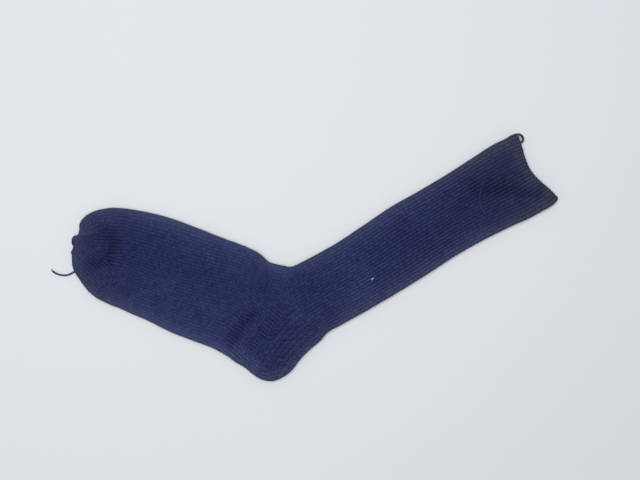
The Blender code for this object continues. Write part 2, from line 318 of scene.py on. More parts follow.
# Angles round the gather where the stitches follow the toe's outline instead
TOE_ARC = (48, 165)
TOE_ARC_END = -206.0            # x at which they join the foot's stitches
TOE_ARC_CENTRE = (-222.0, 10.0)
TOE_ARC_RADIUS = 30.0
TOE_ARC_SHIFT = 8.0             # how much later they turn than the outline does
TOE_ARC_CORNER = 5.0            # how round they turn
TOE_WALE = 3.35                 # width of a stitch at the toe

# The wall: from the form to the lining, and how it thins to the corners of the toe
WALL = 2.4
CORNER_WALL_LOSS = 0.6
CORNER_WALL_REACH = 16.0
CORNER_RELIEF_REACH = 1.5       # the stitches flatten out this near to those corners

# The zones in which the knitting runs its own way. Each is a pattern of stitches: where
# its grooves start, how many courses the legs of a stitch climb, how much a stitch falls
# away at its ends, how much of it shows, and how much it is flecked with fuzz. The
# toe's wedges, which come last, share the toe's pattern.
PLAIN, RIB, FLAP, TURN, GUSSET, BAND, ARC, FIRST_WEDGE = range(8)
Pattern = namedtuple("Pattern", "name groove slope fall shows rough")
PATTERNS = (
    Pattern("plain foot", 0.55, 0.15, 0.7, 0.68, 0.0),
    Pattern("rib", 0.35, 0.5, 0.5, 1.0, 0.4),
    Pattern("heel flap", 0.3, 0.0, 1.0, 0.46, 1.0),
    Pattern("turn of the heel", 0.5, 0.5, 0.7, 1.0, 1.0),
    Pattern("gusset", 0.5, 0.3, 0.6, 1.0, 0.7),
    Pattern("band of decreases", 0.5, 0.3, 0.9, 0.8, 0.7),
    Pattern("toe", 0.5, 0.5, 0.5, 0.7, 0.0),
)
SOLE_FALL = 0.9                 # how much more a stitch falls away at the sole,
SOLE_SHARES = (0.4, 0.8)        # which starts and is reached at these shares across
LEG_SPREAD = 0.3                # how far a leg reaches past the start of the groove
LEG_BLUNTNESS = 0.8             # less is blunter
BETWEEN_LEGS = (0.45, 0.15)     # height between the legs, and how much it changes
STITCH_TENSION = 0.35           # how much deeper one stitch may be than another
RIB_GROWS = (-75.0, 60.0)       # x from which the ribs show, and to which they deepen
DEEPER = 0.35                   # how much more of it shows for each mm of a trough
DEEPER_FROM = 0.3               # past this depth,
DARKER = 1.8                    # and how much more where the most shade is painted on,
DARKER_FROM = 0.25              # past this loss of light
TOE_EDGE_EASE = 1.2             # the stitches flatten out this near to the toe's edge

# Painted sheen along the folds, painted shade at the cast-on edge, soil from handling near the
# mouth and the toe, and a yellower tint along the folds of the heel and the leg, as amounts
# and how far they reach
MOUTH_LOSS = (0.15, 4.0)        # painted shade at the cast-on edge
# How far from the folds the painted sheen reaches
PAINTED_SHEEN_REACH = 10.0
MOUTH_SHEEN_FROM = 3.0         # the cast-on edge gets painted sheen as if this far from a fold
MOUTH_SOIL = (0.45, 60.0)
CAST_ON_SOIL = (0.2, 6.0)
TOE_SOIL = (0.3, 30.0)
FOLD_SOIL_REACH = 22.0
BACK_SOIL = (0.2, -110.0, -60.0)    # its amount, and x between which it grows
FRONT_SOIL = (0.1, 0.0, 40.0)

# Where the stitches of the foot slant a little more than its sides do
SLANT_PLACE = (-110.0, -22.0)
SLANT_REACH = (85.0, 42.0)      # along the foot and across it
SLANT_TURN = -22.0              # direction of the foot, in degrees
SLANT = 0.045                   # stitches gained in each mm

# The rows of the foot lean where they come near the sole
SOLE_REACH = 52.0
SOLE_LEAN = 0.042
SOLE_LEAN_POWER = 1.5

# The lint on the leg: a stray hair, and a fleck of fluff with its direction in degrees
HAIR_ROUTE = ((184.1, 107.0), (182.1, 99.8), (180.0, 93.6), (177.0, 87.5), (173.0, 81.4),
              (170.5, 75.5), (168.2, 69.5), (166.4, 63.0), (166.4, 56.9), (168.4, 50.6),
              (172.0, 44.2))
HAIR = 2.4
HAIR_TOP = 0.12                 # share of its thickness at its upper end
HAIR_GROWS = 2.5                # more keeps it fine for longer
HAIR_ENDS = (0.1, 3.04)         # part of a half wave that rounds off its ends
HAIR_BLUNTNESS = 0.4
HAIR_RIBS = 4                   # points of its route to each side that hold it up
HAIR_LIFT = (-0.2, 0.2)         # height over those tops at its two ends
HAIR_SHEEN = 0.05
FLECK_PLACE = (57.7, -21.3)
FLECK_RUN = 26.0
FLECK_STRANDS = 14
FLECK_REACH = (0.7, 1.6)        # from the middle of a strand to its end
FLECK_SPREAD = 0.22             # of the middles of its strands
FLECK_TURN = 0.25               # how much its strands turn from its direction, in
FLECK_BEND = 0.5                # radians, and how much they bend
FLECK_LIFT = (0.1, 0.5)
FLECK_STRAND = 0.18             # thickness of a strand

# The fine fibres that stand off the sock's outline
FIBRE = 0.09                    # thickness of one
FIBRE_SHARE = 0.6               # share of the points of the outline that have one
FIBRE_REACH = (0.5, 1.6)        # how far they stand off
FIBRE_ROOT = 0.3                # and how far they start inside
FIBRE_TURN = 0.55               # how much they turn from straight out
FIBRE_BEND = 0.45
FIBRE_PARTS = (0.0, 0.35, 0.7, 1.0)     # where along a fibre the points of its route lie

# The fibres of the tail's frayed end: the point of the tail's route that they leave, the
# direction that they fan about, how many there are, their length, how far they fan and
# the seed of their chance
Fray = namedtuple("Fray", "point heading count length spread seed")
FRAYS = (Fray(-1, 120, 9, 2.6, 24, 21), Fray(-3, 60, 4, 2.0, 60, 22))
FRAY_RADIUS = 0.05
FRAY_BEND = 0.5
FRAY_LIFT = (-0.1, 0.25)
FRAY_ROOT = 0.25                # how far from that point they start
FRAY_LOWEST = 0.15              # height below which none of them dips

# The stage: the lens and the floor in mm, and the rest in metres
LENS = 30.05
LENS_WIDTH = 36.0
FLOOR_HALF = 1500.0
FLOOR_DROP = 0.2                # keeps the floor clear of the sock's underside
VIEW_CENTRE = (0.0046, 0.0182)  # what the camera looks down at
NEAREST_SEEN = 0.01
LIGHT_SIZE = (1.5, 1.2)
LIGHT_PLACE = (-0.22, 0.26, 1.45)
SKY_COLOUR = (0.93, 0.96, 1.0, 1.0)

# Charts: where the outside, the lining and the two ends of a shell lie on its map
BAKE_CHART, KNIT_CHART = "OFBake", "knit"
CHART_EDGE = 0.004
OUTER_CHART = (0.004, 0.78)
INNER_CHART = (0.80, 0.94)
NEAR_CHART = (0.955, 0.965)
FAR_CHART = (0.98, 0.99)
LINING_LOOKS = {"stitch": (0.4, 0.5, 0.0), "wear": (0.0, 0.0, 0.0)}

SECTION_ROWS = [section[1:] for section in SECTIONS]


def along(rows, places):
    """Rows of values read at places, which count from 0, on a smooth curve."""
    table = np.array(rows, dtype=float)
    table = np.vstack([2 * table[0] - table[1], table, 2 * table[-1] - table[-2]])
    step = np.minimum(places.astype(int), len(rows) - 2)
    t = (places - step)[:, None]
    before, start, end, after = (table[step + shift] for shift in range(4))
    return 0.5 * (2 * start + (end - before) * t
                  + (2 * before - 5 * start + 4 * end - after) * t ** 2
                  + (3 * start - before - 3 * end + after) * t ** 3)


def smooth_step(value, low=0.0, high=1.0):
    """0 below low, 1 above high, and an even slope between."""
    t = np.clip((value - low) / (high - low), 0, 1)
    return t * t * (3 - 2 * t)


def fading(distance, reach):
    """1 at no distance, and less and less past the reach."""
    return np.exp(-(distance / reach) ** 2)


def smooth_least(first, second, size):
    """The lesser of two values, with the corner between them rounded."""
    both = np.exp(-first / size) + np.exp(-second / size)
    return -size * np.log(both)


def plan(values, shares):
    """Plan of section lines, one for each row of values, at shares across them."""
    x, y, turn, width, _, bow = (values[:, column:column + 1] for column in range(6))
    angle = np.radians(turn)
    across = (0.5 - shares) * width
    bent = bow * (1 - abs(2 * shares - 1) ** BOW_POWER)
    plan_x = x + across * np.cos(angle) - bent * np.sin(angle)
    plan_y = y + across * np.sin(angle) + bent * np.cos(angle)
    for pull in PULLS:
        gap = np.hypot(plan_x - pull.x, plan_y - pull.y)
        fade = fading(gap, pull.reach)
        plan_x = plan_x + pull.x_shift * fade
        plan_y = plan_y + pull.y_shift * fade
    return plan_x, plan_y


def toe_inset(x, y, shares):
    """How far each point lies inside the toe's outline."""
    toe_end = np.array([SECTION_ROWS[0]], dtype=float)
    flat = shares.reshape(1, -1)
    nudge = 0.001
    toe_x, toe_y = plan(toe_end, flat)
    ahead_x, ahead_y = plan(toe_end, np.clip(flat + nudge, 0, 1))
    behind_x, behind_y = plan(toe_end, np.clip(flat - nudge, 0, 1))
    run_x = ahead_x - behind_x
    run_y = ahead_y - behind_y
    length = np.hypot(run_x, run_y)
    off_x = x.reshape(1, -1) - toe_x
    off_y = y.reshape(1, -1) - toe_y
    inset = (off_y * run_x - off_x * run_y) / length
    return np.maximum(inset.reshape(x.shape), 0)


def distance_to_line(x, y, line):
    """Distance in plan from each point to a line of straight runs."""
    nearest = np.full(x.shape, np.inf)
    for (start_x, start_y), (end_x, end_y) in zip(line, line[1:]):
        run_x = end_x - start_x
        run_y = end_y - start_y
        share = (x - start_x) * run_x + (y - start_y) * run_y
        share = np.clip(share / (run_x ** 2 + run_y ** 2), 0, 1)
        gap = np.hypot(x - start_x - share * run_x, y - start_y - share * run_y)
        nearest = np.minimum(nearest, gap)
    return nearest


def fold_travel(inset):
    """How far the cloth runs from the toe's edge to each inset, over its fold."""
    turned = np.clip(1 - inset / FOLD_RADIUS, 0, 1)
    return FOLD_RADIUS * np.arccos(turned) + np.maximum(inset - FOLD_RADIUS, 0)


def ring_places():
    """Places of all rings, their courses from the toe, and each stretch's first ring."""
    places = [np.array([STRETCHES[0].start])]
    courses = [np.zeros(1)]
    starts = [0]
    for stretch in STRETCHES:
        fine = np.linspace(stretch.start, stretch.end, MEASURED_PLACES)
        x, y = plan(along(SECTION_ROWS, fine), np.full((len(fine), 1), stretch.guide))
        run = np.cumsum(np.hypot(np.diff(x[:, 0]), np.diff(y[:, 0])))
        run = np.insert(run, 0, 0.0)
        if stretch.start == 0:
            run = fold_travel(run)
        count = round(run[-1] / COURSE)
        marks = np.linspace(0, run[-1], count * ROWS_PER_COURSE + 1)[1:]
        places.append(np.interp(marks, run, fine))
        courses.append(courses[-1][-1] + marks / run[-1] * count)
        starts.append(starts[-1] + len(marks))
    return np.concatenate(places), np.concatenate(courses), starts


def wander(rings, kind):
    """Smooth random values over the tube, as much each way as the kind's amount."""
    columns = rings.shape[1]
    round_it = max(int(CHANCE_ROUND / kind.size), 3)
    down = int(CHANCE_LENGTH / kind.size) + 2
    lattice = np.random.default_rng(kind.seed).uniform(-1, 1, (down, round_it))
    row = rings.length[:, None] / kind.size
    column = np.arange(columns)[None, :] / COLUMNS * round_it
    row_step = np.floor(row).astype(int)
    column_step = np.floor(column).astype(int)
    row_share = smooth_step(row - row_step)
    column_share = smooth_step(column - column_step)
    found = 0
    for down_step, row_part in ((0, 1 - row_share), (1, row_share)):
        for round_step, column_part in ((0, 1 - column_share), (1, column_share)):
            corner = lattice[(row_step + down_step) % down,
                             (column_step + round_step) % round_it]
            found = found + corner * row_part * column_part
    return kind.amount * found


def stitch_chance(wale, course):
    """A value from 0 to 1 for each stitch, the same in every run."""
    mixed = np.sin(np.floor(wale) * 12.9898 + np.floor(course) * 78.233) * 43758.5453
    return mixed - np.floor(mixed)


def distances_from(rings, place, degrees):
    """How far each point lies ahead of a place and to its left, in a direction."""
    off_x = rings.x - place[0]
    off_y = rings.y - place[1]
    turn = math.radians(degrees)
    ahead = off_x * math.cos(turn) + off_y * math.sin(turn)
    aside = off_y * math.cos(turn) - off_x * math.sin(turn)
    return ahead, aside


class Rings:
    """The outside of the tube as rings of columns, in mm, with where each point lies.

    Column 0 is on the front edge. The first half of the columns crosses the upper
    layer and the rest comes back across the lower one; a last column repeats the
    first, so that charts can close.
    """

    def __init__(self):
        self.place, self.course, self.starts = ring_places()
        values = along(SECTION_ROWS, self.place)
        half = COLUMNS // 2
        column = np.arange(COLUMNS + 1)
        self.column = column
        across = np.where(column <= half, column, COLUMNS - column)[None, :] / half
        self.upper = (column <= half)[None, :]
        width = values[:, 3:4]
        run = width - 2 * FOLD_RADIUS + 2 * FOLD_ARC
        travel = across * run
        from_edge = np.minimum(travel, run - travel)
        turned = np.minimum(from_edge / FOLD_RADIUS, math.pi / 2)
        edge = FOLD_RADIUS * (1 - np.cos(turned)) + np.maximum(from_edge - FOLD_ARC, 0)
        self.share = np.where(travel < run / 2, edge / width, 1 - edge / width)
        self.side = edge
        self.shape = self.share.shape
        self.x, self.y = plan(values, self.share)
        self.inset = toe_inset(self.x, self.y, self.share)
        middle = half // 2
        steps = np.hypot(np.diff(self.x[:, middle]), np.diff(self.y[:, middle]))
        self.length = np.insert(np.cumsum(steps), 0, 0.0)
        self.crease = sum(
            crease.height * fading(distance_to_line(self.x, self.y, crease.line), crease.fade)
            for crease in CREASES)
        self.base = self.heights(values[:, 4:5], np.sin(turned))

    def heights(self, rise, lift):
        """The points of the two layers, as laid flat, with their height."""
        turn_in = np.minimum(self.inset, FOLD_RADIUS)
        toe_fold = np.sqrt(np.maximum(1 - (1 - turn_in / FOLD_RADIUS) ** 2, 0))
        ease = (1 - fading(self.side, SHOULDER)) * (1 - fading(self.inset, SHOULDER))
        gap = np.hypot(self.x - TAIL_LIFT.x, self.y - TAIL_LIFT.y)
        raised = TAIL_LIFT.height * fading(gap, TAIL_LIFT.reach)
        uneven = sum(wander(self, swell) for swell in SWELLS)
        half = FOLD_RADIUS * lift * toe_fold
        top = FOLD_RADIUS + half + (rise + self.crease + uneven) * ease
        under = FOLD_RADIUS - half
        height = np.where(self.upper, top, under) + raised
        return np.stack([self.x, self.y, height], axis=2)


class Chart:
    """Which stitch each point of the rings belongs to.

    wale counts columns of stitches across the knitting, or ribs, and course counts
    rows along it, away from the toe; zone says how the knitting runs there.
    """

    def __init__(self, rings):
        self.fields = []
        self.zone = np.zeros(rings.shape, dtype=int)
        sway = wander(rings, SWAY)
        lean = wander(rings, LEAN)
        column = np.broadcast_to(rings.column[None, :], rings.shape)
        stitch = column / COLUMNS_PER_STITCH + lean + self.slant(rings)
        rib = column * RIBS / COLUMNS + RIB_LEAN * lean
        steps = np.hypot(np.diff(rings.x, axis=0), np.diff(rings.y, axis=0)) / COURSE
        climbed = np.vstack([np.zeros((1, rings.shape[1])), np.cumsum(steps, axis=0)])
        foot_end, leg_start = rings.starts[2], rings.starts[4]
        grown = np.broadcast_to(rings.course[:, None], rings.shape)
        plain = np.array(grown)
        plain[foot_end:] = plain[foot_end] + climbed[foot_end:] - climbed[foot_end]
        ribbed = np.array(grown)
        ribbed[:leg_start] = (ribbed[leg_start] + climbed[:leg_start]
                              - climbed[leg_start])
        self.add(PLAIN, stitch, plain + sway + self.sole_lean(rings))
        self.add(RIB, rib, ribbed + sway)
        self.add_flap(rings, sway)
        self.add(TURN, stitch + wander(rings, TURN_LEAN), plain + wander(rings, TURN_SWAY))
        self.add_gusset(rings, sway, lean)
        self.add_toe(rings, sway)
        self.mark(rings)
        self.wale, self.course = (
            np.choose(self.zone, [field[axis] for field in self.fields])
            for axis in range(2))

    def add(self, zone, wale, course):
        """Keeps one way that the stitches can run; zones are added in their order."""
        assert zone == len(self.fields)
        self.fields.append(np.stack([np.broadcast_to(wale, self.zone.shape),
                                     np.broadcast_to(course, self.zone.shape)]))

    def slant(self, rings):
        """Stitches that the foot's columns are moved over where they slant."""
        ahead, aside = distances_from(rings, SLANT_PLACE, SLANT_TURN)
        fade = np.exp(-(ahead / SLANT_REACH[0]) ** 2 - (aside / SLANT_REACH[1]) ** 2)
        return SLANT * ahead * fade * rings.upper

    def sole_lean(self, rings):
        """Rows that the foot is moved over where they come near the sole."""
        near = np.where(rings.share > 0.5, np.maximum(SOLE_REACH - rings.side, 0), 0)
        return SOLE_LEAN * near ** SOLE_LEAN_POWER / COURSE

    def add_flap(self, rings, sway):
        """The heel flap: its ribs run evenly between its picked-up edge and the back."""
        to_back = distance_to_line(rings.x, rings.y, FLAP_BACK)
        to_front = distance_to_line(rings.x, rings.y, FLAP_FRONT)
        (start_x, start_y), (end_x, end_y) = FLAP_BACK[1:3]
        length = math.hypot(end_x - start_x, end_y - start_y)
        off_x = rings.x - (start_x + end_x) / 2
        off_y = rings.y - (start_y + end_y) / 2
        along_it = (off_x * (end_x - start_x) + off_y * (end_y - start_y)) / length
        bulge = FLAP_BULGE * along_it ** 2
        share = (to_back + bulge) / np.maximum(to_back + to_front, 0.01)
        wale = RIBS / 2 - FLAP_RIBS * share
        wale = np.where(rings.upper, wale, RIBS - wale)
        row = math.radians(FLAP_ROW)
        course = (rings.y * math.cos(row) - rings.x * math.sin(row)) / FLAP_COURSE
        self.add(FLAP, wale + FLAP_SWAY * sway, course + sway)

    def add_gusset(self, rings, sway, lean):
        """The gusset: square to the picked-up edge, then bent to run with the foot."""
        (end_x, end_y), (start_x, start_y) = PICKED_UP[2], PICKED_UP[1]
        length = math.hypot(end_x - start_x, end_y - start_y)
        run_x, run_y = (end_x - start_x) / length, (end_y - start_y) / length
        off_x, off_y = rings.x - start_x, rings.y - start_y
        edge_run = off_x * run_x + off_y * run_y
        away = off_y * -run_x + off_x * run_y
        near, far = GUSSET_BEND
        bent = np.clip(away, near, far) - near
        leant = bent ** 2 / (far - near) / 2 + np.maximum(away - far, 0)
        self.add(GUSSET, (edge_run - GUSSET_LEAN * leant) / GUSSET_WALE + lean,
                 -away / COURSE + sway)
        self.add(BAND, -away / DECREASES_WALE + lean, edge_run / COURSE + sway)

    def add_toe(self, rings, sway):
        """The toe: stitches that follow its outline, and wedges round the gather."""
        edge = smooth_least(rings.side, rings.inset + TOE_ARC_SHIFT, TOE_ARC_CORNER)
        angle = np.arctan2(rings.y - TOE_ARC_CENTRE[1], rings.x - TOE_ARC_CENTRE[0])
        self.add(ARC, (edge + FOLD_ARC - FOLD_RADIUS) / TOE_WALE,
                 sway - angle * TOE_ARC_RADIUS / COURSE)
        for number, wedge in enumerate(WEDGES):
            ahead, aside = distances_from(rings, GATHER, wedge.run)
            self.add(FIRST_WEDGE + number, aside / TOE_WALE + 0.5, ahead / COURSE + sway)

    def mark(self, rings):
        """Sets the zone of every point."""
        down = [-y for _, y in RIB_END]
        rib_end = np.interp(-rings.y, down, [x for x, _ in RIB_END])
        ribbed = rings.x > rib_end
        self.zone[ribbed] = RIB
        (top_x, top_y), (back_x, back_y) = FLAP_TOP
        below = ((rings.x - top_x) * (back_y - top_y)
                 - (rings.y - top_y) * (back_x - top_x)) > 0
        behind = rings.share > FLAP_SHARE
        self.zone[ribbed & below & behind] = FLAP
        picked_up = ~ribbed & behind & (rings.x > GUSSET_EDGE[-1][0])
        edge_top = np.interp(-rings.x, [-x for x, _ in GUSSET_EDGE[:3]],
                             [y for _, y in GUSSET_EDGE[:3]])
        edge_left = np.interp(-rings.y, [-y for _, y in GUSSET_EDGE[2:]],
                              [x for x, _ in GUSSET_EDGE[2:]])
        self.zone[picked_up & (rings.y < edge_top) & (rings.x > edge_left)] = GUSSET
        near = distance_to_line(rings.x, rings.y, DECREASES) < DECREASES_REACH
        self.zone[near & (self.zone == GUSSET)] = BAND
        turn = ~ribbed & (rings.y < HEEL_TURN_TOP) & (rings.x > HEEL_TURN_LEFT)
        self.zone[turn] = TURN
        angle = np.degrees(np.arctan2(rings.y - GATHER[1], rings.x - GATHER[0]))
        top = rings.upper & (rings.place[:, None] < PLACE["foot 2"])
        arc = (angle - TOE_ARC[0]) % 360 < TOE_ARC[1] - TOE_ARC[0]
        self.zone[top & arc & (rings.x < TOE_ARC_END)] = ARC
        for number, wedge in enumerate(WEDGES):
            ahead, _ = distances_from(rings, GATHER, wedge.run)
            inside = (angle - wedge.start) % 360 < wedge.end - wedge.start
            self.zone[top & inside & (ahead < wedge.reach)] = FIRST_WEDGE + number


def knit_height(wale, course, groove, slope, fall):
    """Height of columns of knit stitches, from 0 to 1: two slanting legs to a stitch.

    groove is the distance from a column's middle, in halves of it, at which the
    column starts to fall to the groove beside it; slope is how many courses a leg
    climbs, and fall how much a stitch falls away at its ends.
    """
    across = wale - np.floor(wale)
    aside = abs(2 * across - 1)
    legs = np.clip(aside / (groove + LEG_SPREAD), 0, 1)
    strand = np.sin(math.pi * legs) ** LEG_BLUNTNESS
    swing = np.cos(2 * math.pi * (course + slope * legs))
    level, change = BETWEEN_LEGS
    stitch = strand * (0.5 + fall * swing) + (1 - strand) * (level + change * swing)
    ridge = 1 - smooth_step(aside, groove, 1.0)
    return ridge * (0.5 + 0.5 * stitch)


class Relief:
    """How far the knitting lies below its form, and what its colour follows."""

    def __init__(self, rings, chart, looks):
        wale, course, zone = chart.wale, chart.course, chart.zone
        groove, slope, fall, shows, rough = (
            np.choose(np.minimum(zone, ARC), values)
            for values in list(zip(*PATTERNS))[1:])
        fall = fall + SOLE_FALL * (zone == PLAIN) * smooth_step(rings.share, *SOLE_SHARES)
        height = knit_height(wale, course, groove, slope, fall)
        ribbed = (zone == RIB) | (zone == FLAP)
        chance = stitch_chance(wale, course)
        tension = 1 + looks.unevenness * (wander(rings, TENSION)
                                          + STITCH_TENSION * (chance - 0.5))
        depth = np.where(ribbed, looks.rib_depth, looks.plain_depth) / MM
        # Painted shade where shade falls in the troughs and over the middles of the layers,
        # and painted light, from SHADES
        shade = 1 - np.prod([
            1 - shade.loss * fading(distance_to_line(rings.x, rings.y, shade.line), shade.fade)
            for shade in SHADES], axis=0)
        for number, wedge in enumerate(WEDGES):
            shows = np.where(zone == FIRST_WEDGE + number, wedge.shows, shows)
        shows = shows * (1 + wander(rings, SHOWING))
        shows = shows * np.where(zone == RIB, smooth_step(rings.x, *RIB_GROWS), 1)
        shows = shows * (1 + DEEPER * np.maximum(-rings.crease - DEEPER_FROM, 0)
                         + DARKER * np.maximum(shade - DARKER_FROM, 0))
        height = 0.5 + (height - 0.5) * shows * smooth_step(rings.inset, 0, TOE_EDGE_EASE)
        self.depth = depth * tension * (1 - height)
        self.ridge = np.where(ribbed, height, 0.5)
        self.stitch = np.stack([height, chance, rough], axis=2)
        self.wear = self.paint_light_and_soil(rings, shade)

    def paint_light_and_soil(self, rings, shade):
        """How much painted sheen each point has near the folds, how much light the painted
        shade and light take from it, and its soil.
        """
        from_mouth = rings.length[-1] - rings.length[:, None]
        # Painted shade along the cast-on edge
        loss, reach = MOUTH_LOSS
        shade = 1 - (1 - shade) * (1 - loss * fading(from_mouth, reach))
        # Painted grey sheen along the folds, the toe's edge and the cast-on edge
        near_edge = np.minimum(np.minimum(rings.side, rings.inset),
                               from_mouth + MOUTH_SHEEN_FROM)
        pale = fading(near_edge, PAINTED_SHEEN_REACH)
        back, front = (amount * smooth_step(rings.x, low, high)
                       for amount, low, high in (BACK_SOIL, FRONT_SOIL))
        soil = sum(amount * fading(distance, reach) for distance, (amount, reach) in (
            (from_mouth, MOUTH_SOIL), (from_mouth, CAST_ON_SOIL), (rings.inset, TOE_SOIL)))
        soil = soil + (np.where(rings.share > 0.5, back, front)
                       * fading(rings.side, FOLD_SOIL_REACH))
        return np.stack([pale, shade, soil], axis=2)


def grid_normals(points):
    """Unit normals, facing out, of rings of points whose last column is the first."""
    open_rings = points[:, :-1]
    round_it = np.roll(open_rings, -1, axis=1) - np.roll(open_rings, 1, axis=1)
    down = np.gradient(open_rings, axis=0)
    normal = np.cross(round_it, down)
    length = np.linalg.norm(normal, axis=2, keepdims=True)
    normal = normal / np.maximum(length, 1e-9)
    for corner in (0, COLUMNS // 2):
        normal[0, corner] = normal[1, corner]
    return np.concatenate([normal, normal[:, :1]], axis=1)


class Knitting:
    """The finished tube: its outside with every stitch in relief, and its lining."""

    def __init__(self, looks):
        self.rings = Rings()
        self.chart = Chart(self.rings)
        self.relief = Relief(self.rings, self.chart, looks)
        base = self.rings.base
        normal = grid_normals(base)
        corner_gap = np.full(self.rings.shape, np.inf)
        for corner in (0, COLUMNS // 2):
            off = base[:, :, :2] - base[0, corner, :2]
            corner_gap = np.minimum(corner_gap, np.hypot(off[:, :, 0], off[:, :, 1]))
        depth = self.relief.depth * (1 - fading(corner_gap, CORNER_RELIEF_REACH))
        self.outside = base - depth[:, :, None] * normal
        wall = WALL * (1 - CORNER_WALL_LOSS * fading(corner_gap, CORNER_WALL_REACH))
        inside = base - wall[:, :, None] * normal
        self.inside = inside[::ROWS_PER_COURSE, ::LINING_STEP]
        self.inside_normal = -normal[::ROWS_PER_COURSE, ::LINING_STEP]
        self.outside = np.concatenate([self.outside, self.roll_edge(wall[-1], normal[-1])])
        self.outside[:, :, 2] = np.maximum(self.outside[:, :, 2], 0.0)
        self.normal = grid_normals(self.outside)

    def roll_edge(self, wall, normal):
        """Rows that turn the cast-on edge over to the inside, proud at each stitch."""
        base = self.rings.base
        ahead = base[-1] - base[-1 - ROWS_PER_COURSE]
        ahead = ahead / np.linalg.norm(ahead, axis=1, keepdims=True)
        radius = (wall - self.relief.depth[-1]) / 2
        reach = (ROLL_REACH + ROLL_AT_RIB * self.relief.ridge[-1]
                 + ROLL_CHANCE * self.relief.stitch[-1, :, 1])
        rows = []
        for row in range(1, ROLL_ROWS + 1):
            turned = math.pi * row / ROLL_ROWS
            out = (reach * math.sin(turned))[:, None] * ahead
            down = (radius * (1 - math.cos(turned)))[:, None] * normal
            rows.append(self.outside[-1] + out - down)
        return np.array(rows)

    def field(self, name):
        """A value of every point of the outside, carried over the rolled edge."""
        values = getattr(self.relief, name)
        rolled = np.repeat(values[-1:], ROLL_ROWS, axis=0)
        return np.concatenate([values, rolled])


